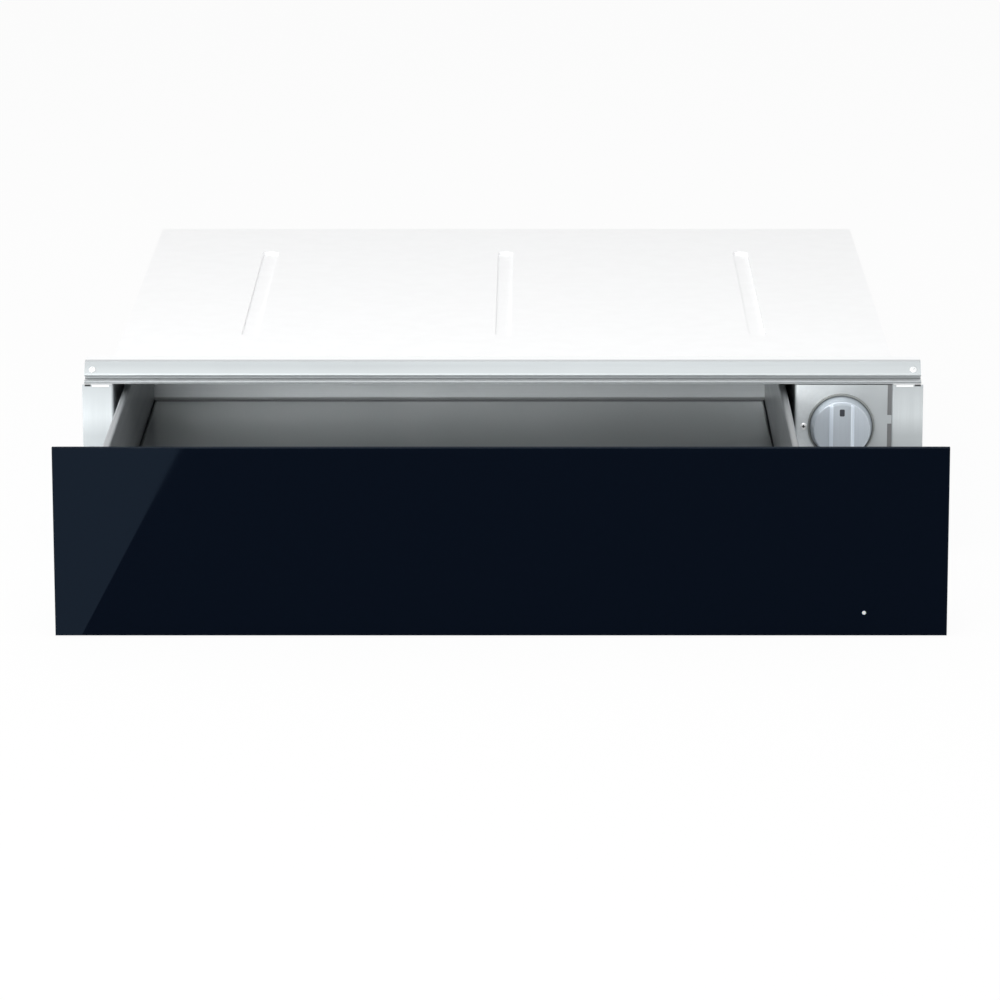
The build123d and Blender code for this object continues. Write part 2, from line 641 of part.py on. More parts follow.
# ---------------------------------------------------------------- heating
heater_x = [chamber_middle + (run - (HEATER_RUNS - 1) / 2) * HEATER_PITCH for run in range(HEATER_RUNS)]
heater_route = [(heater_x[0], heater_tail)]
for run, x in enumerate(heater_x[:-1]):
    turn = HEATER_FRONT if run % 2 == 0 else heater_rear
    heater_route += [(x, turn), (heater_x[run + 1], turn)]
heater_route.append((heater_x[-1], heater_tail))
with BuildPart() as heater_element:
    with BuildLine(Plane.XY.offset(HEATER_HEIGHT)) as heater_path:
        FilletPolyline(*heater_route, radius=HEATER_PITCH / 2 - CUT / 2)
    with BuildSketch(facing(heater_tail)) as tube:
        with Locations((heater_x[0], HEATER_HEIGHT)):
            Circle(HEATER_RADIUS)
    sweep(tube.sketch, path=heater_path.line)
keep(heater_element, "heater_element")

shield_top = BEAD_HEIGHT + SHIELD_SHEET
shield_left = heater_x[0] - SHIELD_MARGIN
shield_right = heater_x[-1] + SHIELD_MARGIN
with BuildPart() as heat_shield:
    folded(
        facing(heater_rear + SHIELD_MARGIN),
        [(shield_left, BEAD_HEIGHT + SHIELD_UPTURN), (shield_left, BEAD_HEIGHT),
         (shield_right, BEAD_HEIGHT), (shield_right, BEAD_HEIGHT + SHIELD_UPTURN)],
        SHIELD_SHEET, heater_rear - HEATER_FRONT + 2 * SHIELD_MARGIN, bend=BEND, side=Side.LEFT)
keep(heat_shield, "heat_shield")

bracket_top = HEATER_HEIGHT + HEATER_RADIUS + BRACKET_RIM
with BuildPart() as heater_brackets:
    for y in (HEATER_FRONT + BRACKET_INSET, heater_rear - BRACKET_INSET):
        folded(
            across(heater_x[0] - 2 * HEATER_RADIUS),
            [(y + PANEL_RETURN, shield_top), (y, shield_top), (y, bracket_top)],
            SHEET, heater_x[-1] - heater_x[0] + 4 * HEATER_RADIUS)
        for x in heater_x:
            rod(facing(y + CUT), (x, HEATER_HEIGHT), HEATER_RADIUS + HEATER_FIT, SHEET + 2 * CUT,
                mode=Mode.SUBTRACT)
keep(heater_brackets, "heater_brackets")

# ---------------------------------------------------------------- fan
scroll_back = compartment_front + SCROLL_DEPTH
throat = fan_x + scroll_radius
plenum_top = fan_z + scroll_radius + SCROLL_RISE
with BuildPart() as fan_scroll:
    with BuildSketch(facing(scroll_back)) as snail:
        with Locations((fan_x, fan_z)):
            Circle(scroll_radius)
        with Locations(((fan_x + throat) / 2, plenum_top - PLENUM_HEIGHT / 2)):
            Rectangle(throat - fan_x, PLENUM_HEIGHT)
    extrude(snail.sketch, amount=SCROLL_DEPTH)
    snail_faces = fan_scroll.faces()
    offset(amount=-SHEET, openings=[snail_faces.sort_by(Axis.Y)[0], snail_faces.sort_by(Axis.X)[-1]])
    rod(facing(scroll_back + CUT), (fan_x, fan_z), FAN_HUB_RADIUS, SHEET + 2 * CUT, mode=Mode.SUBTRACT)
keep(fan_scroll, "fan_scroll")

with BuildPart() as fan_duct:
    block((throat, fan_x + PLENUM_LENGTH), (compartment_front, scroll_back),
          (plenum_top - PLENUM_HEIGHT, plenum_top))
    duct_faces = fan_duct.faces()
    offset(amount=-SHEET, openings=[duct_faces.sort_by(Axis.Y)[0], duct_faces.sort_by(Axis.X)[0]])
keep(fan_duct, "fan_duct")

impeller_back = scroll_back - FAN_BACK_AIR
with BuildPart() as fan_impeller:
    rod(facing(impeller_back), (fan_x, fan_z), FAN_RADIUS, FAN_DISC)
    rod(facing(impeller_back), (fan_x, fan_z), FAN_HUB_RADIUS, FAN_HUB_LENGTH)
    with BuildSketch(facing(impeller_back)) as blades:
        with Locations((fan_x, fan_z)):
            with PolarLocations(FAN_RADIUS - FAN_BLADE_INSET, FAN_BLADES):
                Rectangle(FAN_BLADE_WIDTH, FAN_BLADE_SHEET, rotation=FAN_BLADE_ANGLE)
    extrude(blades.sketch, amount=FAN_WIDTH)
    with BuildSketch(facing(impeller_back - FAN_WIDTH + FAN_RING_SHEET)) as shroud:
        with Locations((fan_x, fan_z)):
            Circle(FAN_RADIUS)
            Circle(FAN_RADIUS - FAN_RING, mode=Mode.SUBTRACT)
    extrude(shroud.sketch, amount=FAN_RING_SHEET)
    rod(facing(impeller_back + CUT), (fan_x, fan_z), FAN_SHAFT_RADIUS, FAN_WIDTH, mode=Mode.SUBTRACT)
keep(fan_impeller, "fan_impeller")

motor_front = scroll_back + MOTOR_STANDOFF
motor_back = motor_front + MOTOR_DEPTH
with BuildPart() as fan_motor:
    with BuildSketch(facing(motor_back)) as stack:
        with Locations((fan_x, fan_z)):
            RectangleRounded(MOTOR_WIDTH, MOTOR_HEIGHT, MOTOR_CORNER)
    extrude(stack.sketch, amount=MOTOR_DEPTH)
    for hand in (-1, 1):
        rod(facing(motor_front), (fan_x + hand * (MOTOR_WIDTH / 2 - 2 * MOTOR_POST_RADIUS), fan_z),
            MOTOR_POST_RADIUS, MOTOR_STANDOFF)
    rod(facing(motor_back + MOTOR_BEARING_LENGTH), (fan_x, fan_z), MOTOR_BEARING_RADIUS,
        MOTOR_BEARING_LENGTH)
    rod(facing(motor_front), (fan_x, fan_z), MOTOR_NOSE_RADIUS, MOTOR_NOSE_LENGTH)
    rod(facing(motor_back + MOTOR_BEARING_LENGTH + CUT), (fan_x, fan_z), FAN_SHAFT_RADIUS + RUNNING_FIT,
        2 * MOTOR_DEPTH, mode=Mode.SUBTRACT)
keep(fan_motor, "fan_motor")

with BuildPart() as fan_shaft:
    rod(facing(motor_back + MOTOR_NOSE_LENGTH), (fan_x, fan_z), FAN_SHAFT_RADIUS,
        motor_back + MOTOR_NOSE_LENGTH - impeller_back + FAN_HUB_LENGTH)
keep(fan_shaft, "fan_shaft")

# ---------------------------------------------------------------- switch, latch and sensors
def behind_wall(x, size):
    """A block of a width, depth and height that stands against the back of the chamber's rear wall."""
    block((x - size[0] / 2, x + size[0] / 2), (compartment_front, compartment_front + size[1]),
          (push_z - size[2] / 2, push_z + size[2] / 2))


with BuildPart() as drawer_switch:
    behind_wall(switch_x, SWITCH_SIZE)
    rod(facing(compartment_front + SWITCH_BORE), (switch_x, push_z), BUTTON_RADIUS + RUNNING_FIT,
        SWITCH_BORE + CUT, mode=Mode.SUBTRACT)
keep(drawer_switch, "drawer_switch")

push_tip = closed_rear_y + STRIKER_THICKNESS + PUSH_AIR
with BuildPart() as switch_button:
    rod(facing(compartment_front + BUTTON_INSIDE), (switch_x, push_z), BUTTON_RADIUS,
        compartment_front + BUTTON_INSIDE - push_tip)
    chamfer(switch_button.edges().group_by(Axis.Y)[0], BUTTON_CHAMFER)
keep(switch_button, "switch_button")

with BuildPart() as latch_case:
    behind_wall(latch_x, LATCH_SIZE)
    fillet(latch_case.edges().filter_by(Axis.Y), LATCH_CORNER)
    rod(facing(compartment_front + LATCH_BORE), (latch_x, push_z), LATCH_RADIUS + RUNNING_FIT,
        LATCH_BORE + CUT, mode=Mode.SUBTRACT)
keep(latch_case, "latch_case")

with BuildPart() as latch_plunger:
    rod(facing(compartment_front + PLUNGER_INSIDE), (latch_x, push_z), LATCH_RADIUS,
        compartment_front + PLUNGER_INSIDE - push_tip)
    chamfer(latch_plunger.edges().group_by(Axis.Y)[0], PLUNGER_CHAMFER)
keep(latch_plunger, "latch_plunger")

with BuildPart() as heat_limiter:
    rod(facing(compartment_front + LIMITER_LENGTH), (switch_x, fan_z), LIMITER_RADIUS, LIMITER_LENGTH)
    with BuildSketch(facing(compartment_front + SHEET)) as ears:
        with Locations((switch_x, fan_z)):
            SlotOverall(*LIMITER_EARS)
    extrude(ears.sketch, amount=SHEET)
keep(heat_limiter, "heat_limiter")

sensor_y = chamber_depth - SENSOR_STANDOFF
with BuildPart() as sensor_bulb:
    rod(across(SENSOR_START), (sensor_y, sensor_z), SENSOR_RADIUS, SENSOR_LENGTH)
    chamfer(sensor_bulb.edges().filter_by(GeomType.CIRCLE), SENSOR_RADIUS / 2)
keep(sensor_bulb, "sensor_bulb")

with BuildPart() as sensor_clips:
    for x in CLIP_PLACES:
        block((x, x + CLIP_WIDTH), (sensor_y - SENSOR_RADIUS - CLIP_COVER, chamber_depth),
              (sensor_z - CLIP_HEIGHT / 2, sensor_z + CLIP_HEIGHT / 2))
        rod(across(x - CUT), (sensor_y, sensor_z), SENSOR_RADIUS, CLIP_WIDTH + 2 * CUT,
            mode=Mode.SUBTRACT)
keep(sensor_clips, "sensor_clips")

# ---------------------------------------------------------------- drawer front
with BuildPart() as front_glass:
    with BuildSketch(facing(glass_back)) as pane:
        with Locations((0, FRONT_LIFT + front_height / 2)):
            Rectangle(front_width, front_height)
    extrude(pane.sketch, amount=GLASS_THICKNESS)
    chamfer(front_glass.edges().group_by(Axis.Y)[0], GLASS_CHAMFER)
    rod(facing(glass_back + CUT), (lamp_x, LAMP_HEIGHT), LAMP_RADIUS, GLASS_THICKNESS + 2 * CUT,
        mode=Mode.SUBTRACT)
keep(front_glass, "front_glass")

with BuildPart() as glass_bezel:
    with BuildSketch(facing(glass_back + BEZEL_DEPTH)) as ring:
        with Locations((0, (bezel_bottom + bezel_top) / 2)):
            RectangleRounded(2 * bezel_half, bezel_top - bezel_bottom, BEZEL_CORNER)
            Rectangle(2 * (bezel_half - BEZEL_WIDTH), bezel_top - bezel_bottom - 2 * BEZEL_WIDTH,
                      mode=Mode.SUBTRACT)
    extrude(ring.sketch, amount=BEZEL_DEPTH)
    chamfer(glass_bezel.edges().group_by(Axis.Y)[-1], BEZEL_CHAMFER)
keep(glass_bezel, "glass_bezel")

carrier_left = chamber_left + CARRIER_SIDE_LEFT
carrier_right = chamber_right - CARRIER_SIDE_RIGHT
carrier_bottom = bezel_bottom + BEZEL_WIDTH + CARRIER_PLAY
carrier_top = bezel_top - BEZEL_WIDTH - CARRIER_PLAY
arm_end = bezel_half - BEZEL_WIDTH - CARRIER_PLAY
with BuildPart() as front_carrier:
    with BuildSketch(facing(carrier_back)) as tray:
        with Locations(((carrier_left + carrier_right) / 2, (carrier_bottom + carrier_top) / 2)):
            Rectangle(carrier_right - carrier_left, carrier_top - carrier_bottom)
        with Locations((0, carrier_bottom + ARM_HEIGHT / 2)):
            Rectangle(2 * arm_end, ARM_HEIGHT)
    extrude(tray.sketch, amount=carrier_back - glass_back)
    fillet(front_carrier.edges().filter_by(Axis.Y), CARRIER_CORNER)
    offset(amount=-CARRIER_SHEET, openings=front_carrier.faces().sort_by(Axis.Y)[-1])
    rod(facing(carrier_back), (lamp_x, LAMP_HEIGHT), PIPE_RADIUS, FRONT_DEPTH, mode=Mode.SUBTRACT)
keep(front_carrier, "front_carrier")

with BuildPart() as bin_front:
    extrude(tray.sketch, amount=-BIN_SHEET)
    fillet(bin_front.edges().filter_by(Axis.Y), CARRIER_CORNER)
    rod(facing(bin_front_y + CUT), (lamp_x, LAMP_HEIGHT), PIPE_RADIUS, BIN_SHEET + 2 * CUT,
        mode=Mode.SUBTRACT)
keep(bin_front, "bin_front")

with BuildPart() as light_pipe:
    rod(facing(bin_front_y), (lamp_x, LAMP_HEIGHT), PIPE_RADIUS, bin_front_y - glass_back)
    rod(facing(glass_back), (lamp_x, LAMP_HEIGHT), LAMP_RADIUS, GLASS_THICKNESS)
keep(light_pipe, "light_pipe")

bumper_end = flange_face - REST_OPENING - BUMPER_AIR
with BuildPart() as front_bumpers:
    for hand in (-1, 1):
        for height in (carrier_bottom + BUMPER_INSET, carrier_bottom + ARM_HEIGHT - BUMPER_INSET):
            rod(facing(bumper_end), (hand * (arm_end - BUMPER_EDGE), height), BUMPER_RADIUS,
                bumper_end - bin_front_y)
    chamfer(front_bumpers.edges().group_by(Axis.Y)[-1], BUMPER_CHAMFER)
keep(front_bumpers, "front_bumpers")

# ---------------------------------------------------------------- drawer bin
with BuildPart() as bin_deck:
    folded(
        facing(bin_rear_y),
        [(skirt_left, SKIRT_LIFT), (skirt_left, deck_top),
         (skirt_right, deck_top), (skirt_right, SKIRT_LIFT)],
        SHEET, bin_rear_y - bin_front_y, bend=DECK_BEND)
    block((skirt_left + DECK_BEND, skirt_right - DECK_BEND), (bin_rear_y - SHEET, bin_rear_y),
          (TAIL_LIFT, deck_top - SHEET))
keep(bin_deck, "bin_deck")


def bin_side(label, edge, hand):
    """One double-skinned side wall: a foot flange, the outer skin, the rim and the inner skin."""
    with BuildPart() as wall:
        folded(
            facing(bin_rear_inner),
            [(edge + hand * BIN_FLANGE, deck_top), (edge, deck_top), (edge, rim),
             (edge + hand * BIN_WALL, rim), (edge + hand * BIN_WALL, deck_top + 2 * BIN_SHEET)],
            BIN_SHEET, bin_rear_inner - bin_front_y, bend=BIN_BEND,
            side=Side.RIGHT if hand > 0 else Side.LEFT)
    keep(wall, label)


bin_side("bin_side_left", bin_left, 1)
bin_side("bin_side_right", bin_right, -1)

with BuildPart() as bin_rear:
    folded(
        across(bin_left),
        [(bin_rear_y, deck_top), (bin_rear_y, rim), (bin_rear_inner, rim),
         (bin_rear_inner, deck_top + 2 * BIN_SHEET)],
        BIN_SHEET, bin_width, bend=BIN_BEND, side=Side.LEFT)
keep(bin_rear, "bin_rear")

bin_inner = ((bin_left + BIN_WALL, bin_right - BIN_WALL), (bin_front_y, bin_rear_inner))
floor_middle = ((bin_inner[0][0] + bin_inner[0][1]) / 2, (bin_inner[1][0] + bin_inner[1][1]) / 2)
floor_size = (bin_inner[0][1] - bin_inner[0][0], bin_inner[1][1] - bin_inner[1][0])
seal_bottom = deck_top + BIN_SHEET
with BuildPart() as floor_seal:
    with BuildSketch(Plane.XY.offset(seal_bottom)) as seal_foot:
        with Locations(floor_middle):
            Rectangle(*floor_size)
            Rectangle(floor_size[0] - 2 * SEAL_WIDTH, floor_size[1] - 2 * SEAL_WIDTH, mode=Mode.SUBTRACT)
    extrude(seal_foot.sketch, amount=plate_bottom - seal_bottom)
    with BuildSketch(Plane.XY.offset(plate_bottom)) as seal_lip:
        with Locations(floor_middle):
            Rectangle(*floor_size)
            Rectangle(floor_size[0] - 2 * SEAL_JOINT, floor_size[1] - 2 * SEAL_JOINT, mode=Mode.SUBTRACT)
    extrude(seal_lip.sketch, amount=FLOOR_THICKNESS - SEAL_DROP)
keep(floor_seal, "floor_seal")

with BuildPart() as floor_plate:
    with BuildSketch(Plane.XY.offset(plate_bottom)) as plate:
        with Locations(floor_middle):
            Rectangle(floor_size[0] - 2 * SEAL_JOINT, floor_size[1] - 2 * SEAL_JOINT)
    extrude(plate.sketch, amount=FLOOR_THICKNESS)
    chamfer(floor_plate.faces().sort_by(Axis.Z)[-1].edges(), PLATE_CHAMFER)
keep(floor_plate, "floor_plate")

with BuildPart() as floor_insulation:
    with BuildSketch(Plane.XY.offset(deck_top)) as mat:
        with Locations(floor_middle):
            Rectangle(bin_width - 2 * (BIN_FLANGE + MAT_PLAY), floor_size[1] - 2 * (SEAL_WIDTH + MAT_PLAY))
    extrude(mat.sketch, amount=plate_bottom - deck_top)
keep(floor_insulation, "floor_insulation")

with BuildPart() as latch_striker:
    for x, size in ((latch_x, STRIKER_LATCH), (switch_x, STRIKER_SWITCH)):
        block((x - size[0] / 2, x + size[0] / 2), (bin_rear_y, bin_rear_y + STRIKER_THICKNESS),
              (push_z - size[1] / 2, push_z + size[1] / 2))
keep(latch_striker, "latch_striker")


# ---------------------------------------------------------------- telescopic slides
middle_reach = SLIDE_WIDTH - RAIL_SHEET - RAIL_GAP
middle_back = RAIL_SHEET + MIDDLE_OFFSET
half_outer = SLIDE_HEIGHT / 2
half_middle = half_outer - RAIL_SHEET - RACE
half_inner = half_middle - RAIL_SHEET - INNER_RACE
inner_start = SLIDE_WIDTH - INNER_REACH
outer_row = half_middle + RACE / 2
inner_row = half_inner + INNER_RACE / 2


def slide(side_name, wall, hand):
    """A three-part ball-bearing slide on one chamber wall, drawn half open, with its two ball cages."""
    inward = Side.LEFT if hand > 0 else Side.RIGHT
    outward = Side.RIGHT if hand > 0 else Side.LEFT

    def place(points):
        return [(wall + hand * u, slide_z + v) for u, v in points]

    with BuildPart() as outer_rail:
        folded(
            facing(rail_rear),
            place([(OUTER_REACH, half_outer - OUTER_LIP), (OUTER_REACH, half_outer), (0, half_outer),
                   (0, -half_outer), (OUTER_REACH, -half_outer), (OUTER_REACH, OUTER_LIP - half_outer)]),
            RAIL_SHEET, slide_length, bend=RAIL_BEND, side=inward)
    keep(outer_rail, f"slide_outer_{side_name}")

    with BuildPart() as middle_rail:
        folded(
            facing(rail_rear - REST_OPENING / 2),
            place([(middle_reach, half_middle - MIDDLE_LIP), (middle_reach, half_middle),
                   (middle_back, half_middle), (middle_back, -half_middle), (middle_reach, -half_middle),
                   (middle_reach, MIDDLE_LIP - half_middle)]),
            RAIL_SHEET, slide_length, bend=RAIL_BEND, side=inward)
    keep(middle_rail, f"slide_middle_{side_name}")

    with BuildPart() as inner_rail:
        folded(
            facing(rail_rear - REST_OPENING),
            place([(inner_start, half_inner), (SLIDE_WIDTH, half_inner), (SLIDE_WIDTH, -half_inner),
                   (inner_start, -half_inner)]),
            RAIL_SHEET, slide_length, bend=RAIL_BEND, side=outward)
    keep(inner_rail, f"slide_inner_{side_name}")

    cages = (("outer", OUTER_CAGE, outer_row, OUTER_BALL, 0.25),
             ("inner", INNER_CAGE, inner_row, INNER_BALL, 0.75))
    for row_name, (web, reach), row, ball, share in cages:
        cage_front = CAGE_START - share * REST_OPENING
        cage_length = (BALLS_PER_ROW - 1) * BALL_PITCH + 2 * CAGE_END
        edge = row + CAGE_SHEET / 2
        with BuildPart() as cage:
            folded(
                facing(cage_front + cage_length),
                place([(reach, edge), (web, edge), (web, -edge), (reach, -edge)]),
                CAGE_SHEET, cage_length, bend=CAGE_BEND, side=inward)
            with BuildSketch(Plane.XY.offset(slide_z - SLIDE_HEIGHT)) as pockets:
                with Locations((wall + hand * ball, cage_front + cage_length / 2)):
                    with GridLocations(0, BALL_PITCH, 1, BALLS_PER_ROW):
                        Circle(BALL_RADIUS + BALL_HOLE_PLAY)
            extrude(pockets.sketch, amount=2 * SLIDE_HEIGHT, mode=Mode.SUBTRACT)
            for level in (slide_z - row, slide_z + row):
                with Locations((wall + hand * ball, cage_front + cage_length / 2, level)):
                    with GridLocations(0, BALL_PITCH, 1, BALLS_PER_ROW):
                        Sphere(BALL_RADIUS)
        keep(cage, f"ball_cage_{row_name}_{side_name}")


slide("left", chamber_left, 1)
slide("right", chamber_right, -1)


def rivet_row(face, hand, middle_y):
    """Three low rivet heads on a sheet that stands across X, in line with a slide."""
    for step in (-1, 0, 1):
        rod(Plane((face, middle_y + step * RIVET_PITCH, slide_z), z_dir=(hand, 0, 0)), (0, 0), RIVET_RADIUS,
            RIVET_HEIGHT)


with BuildPart() as slide_rivets:
    rivet_row(chamber_left - SHEET, -1, rail_rear - slide_length / 2)
    rivet_row(chamber_right + SHEET, 1, rail_rear - slide_length / 2)
    slide_heads = slide_rivets.edges().filter_by(GeomType.CIRCLE).group_by(Axis.X)
    chamfer(slide_heads[0] + slide_heads[-1], RIVET_CHAMFER)
keep(slide_rivets, "slide_rivets")

with BuildPart() as deck_rivets:
    rivet_row(skirt_left + SHEET, 1, rail_rear - REST_OPENING - slide_length / 2)
    rivet_row(skirt_right - SHEET, -1, rail_rear - REST_OPENING - slide_length / 2)
    deck_heads = deck_rivets.edges().filter_by(GeomType.CIRCLE).group_by(Axis.X)
    chamfer(deck_heads[1] + deck_heads[-2], RIVET_CHAMFER)
keep(deck_rivets, "deck_rivets")

with BuildPart() as housing_screws:
    for hand in (-1, 1):
        for y in (BODY_DEPTH / 2 + step * HOUSING_SCREW_PITCH for step in (-1, 0, 1)):
            rod(Plane((hand * half_body, y, PAN_UPTURN / 2), z_dir=(hand, 0, 0)), (0, 0), SCREW_HEAD_RADIUS,
                SCREW_HEAD_HEIGHT)
        for height in (PANEL_RETURN, wall_top - PANEL_RETURN):
            rod(facing(BODY_DEPTH + SCREW_HEAD_HEIGHT), (hand * (inner_half - PANEL_RETURN / 2), height),
                SCREW_HEAD_RADIUS, SCREW_HEAD_HEIGHT)
keep(housing_screws, "housing_screws")

trim_slope = math.atan2(TRIM_LEAN - flange_face, TRIM_HEIGHT)
with BuildPart() as front_screws:
    fascia_screw = (chamber_right + FASCIA_SCREW_INSET, front_top - FASCIA_SCREW_DROP)
    rod(facing(flange_face), fascia_screw, FRONT_SCREW_RADIUS, FRONT_SCREW_HEIGHT)
    rod(facing(flange_face - FRONT_SCREW_HEIGHT), fascia_screw, FRONT_SOCKET_RADIUS, -FRONT_SOCKET_DEPTH,
        mode=Mode.SUBTRACT)
    for hand in (-1, 1):
        spot = Plane((hand * (half_frame - TRIM_SCREW_INSET),
                      flange_face + TRIM_SCREW_RISE * math.tan(trim_slope), trim_bend_z + TRIM_SCREW_RISE),
                     x_dir=(1, 0, 0), z_dir=(0, -math.cos(trim_slope), math.sin(trim_slope)))
        with BuildSketch(spot) as head:
            Circle(FRONT_SCREW_RADIUS)
        extrude(head.sketch, amount=FRONT_SCREW_HEIGHT, taper=HEAD_TAPER)
keep(front_screws, "front_screws")
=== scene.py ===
"""Looks of a built-in warming drawer, dressed round its packed construction.

The construction comes in as fixed nodes. This script gives every node its finish, adds the pieces that
repeat or need a finer surface than the construction has, and sets the floor, the light and the camera.
Lengths are in metres, +X is to the right, +Y into the cabinet and +Z up.
"""

import json
import logging
import math
from abc import ABC, abstractmethod
from collections.abc import Callable, Iterable
from dataclasses import dataclass
from enum import Enum
from functools import partial
from typing import ClassVar

import bmesh
import bpy
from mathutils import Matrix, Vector

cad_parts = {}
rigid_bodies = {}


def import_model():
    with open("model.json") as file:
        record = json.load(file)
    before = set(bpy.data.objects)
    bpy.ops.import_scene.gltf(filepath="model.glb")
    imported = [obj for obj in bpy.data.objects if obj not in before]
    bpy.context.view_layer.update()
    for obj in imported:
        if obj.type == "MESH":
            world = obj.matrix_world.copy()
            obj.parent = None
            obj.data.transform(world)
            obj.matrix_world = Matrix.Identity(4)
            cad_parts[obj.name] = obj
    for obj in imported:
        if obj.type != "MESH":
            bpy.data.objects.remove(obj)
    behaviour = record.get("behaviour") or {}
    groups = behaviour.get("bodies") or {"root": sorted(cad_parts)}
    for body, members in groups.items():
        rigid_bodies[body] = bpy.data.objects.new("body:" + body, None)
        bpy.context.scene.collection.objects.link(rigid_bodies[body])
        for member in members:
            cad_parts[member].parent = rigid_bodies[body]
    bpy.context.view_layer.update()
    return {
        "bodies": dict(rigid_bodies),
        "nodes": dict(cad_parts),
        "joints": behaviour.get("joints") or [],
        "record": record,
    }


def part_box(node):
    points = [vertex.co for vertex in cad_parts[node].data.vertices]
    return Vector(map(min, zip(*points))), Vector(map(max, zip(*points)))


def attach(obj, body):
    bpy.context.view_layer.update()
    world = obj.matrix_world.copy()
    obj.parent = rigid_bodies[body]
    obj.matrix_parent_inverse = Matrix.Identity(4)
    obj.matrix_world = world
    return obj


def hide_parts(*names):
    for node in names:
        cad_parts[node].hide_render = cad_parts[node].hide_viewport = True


LOG = logging.getLogger("warming_drawer")

Colour = tuple[float, float, float]
Place = tuple[float, float, float]
Span = tuple[float | None, float | None]
Spot = tuple[Place, Place]
Node = bpy.types.Node
NodeTree = bpy.types.NodeTree
Piece = bpy.types.Object
Socket = bpy.types.NodeSocket
Sockets = dict[str, Socket]
Value = float | int | str | tuple | bool | Socket | bpy.types.ID

FLOAT = "NodeSocketFloat"
VECTOR = "NodeSocketVector"
GEOMETRY = "NodeSocketGeometry"

MM = 0.001
SOFT = 0.15 * MM
EDGE_WEAR_AND_HIGHLIGHT_WIDTH = 0.5 * MM
TOUCHING = 0.0001 * MM
OPEN: Span = (None, None)

# Colours of the sheets, of the darker bands round the floor glass, of the painted highlight on the grip's flanks,
# and of what settles or burns on the surfaces.
STEEL = (0.6, 0.615, 0.62)
WHITE = (0.94, 0.95, 0.955)
PALE = (0.69, 0.735, 0.75)
ZINC = (0.62, 0.64, 0.655)
FLOOR_EDGE_TONE = (0.15, 0.158, 0.163)
GRIP_PAINTED_HIGHLIGHT = (0.8, 0.88, 0.97)
GROUND_GLASS = (0.018, 0.026, 0.034)
STEEL_DUST = (0.62, 0.6, 0.57)
ZINC_DUST = (0.6, 0.58, 0.55)
GLASS_DUST = (0.3, 0.3, 0.3)
STRAW_TINT = (0.36, 0.27, 0.17)
BLUE_TINT = (0.13, 0.16, 0.27)
BURNT = (0.08, 0.075, 0.07)
RUST = (0.16, 0.09, 0.05)


class Grain(Enum):
    """How a brushed or rolled pattern is stretched: slow along the grain and fast across it."""

    ALONG_X = (6.0, 420.0, 420.0)
    ALONG_Y = (420.0, 6.0, 420.0)
    ALONG_Z = (420.0, 420.0, 6.0)
    EVEN = (90.0, 90.0, 90.0)


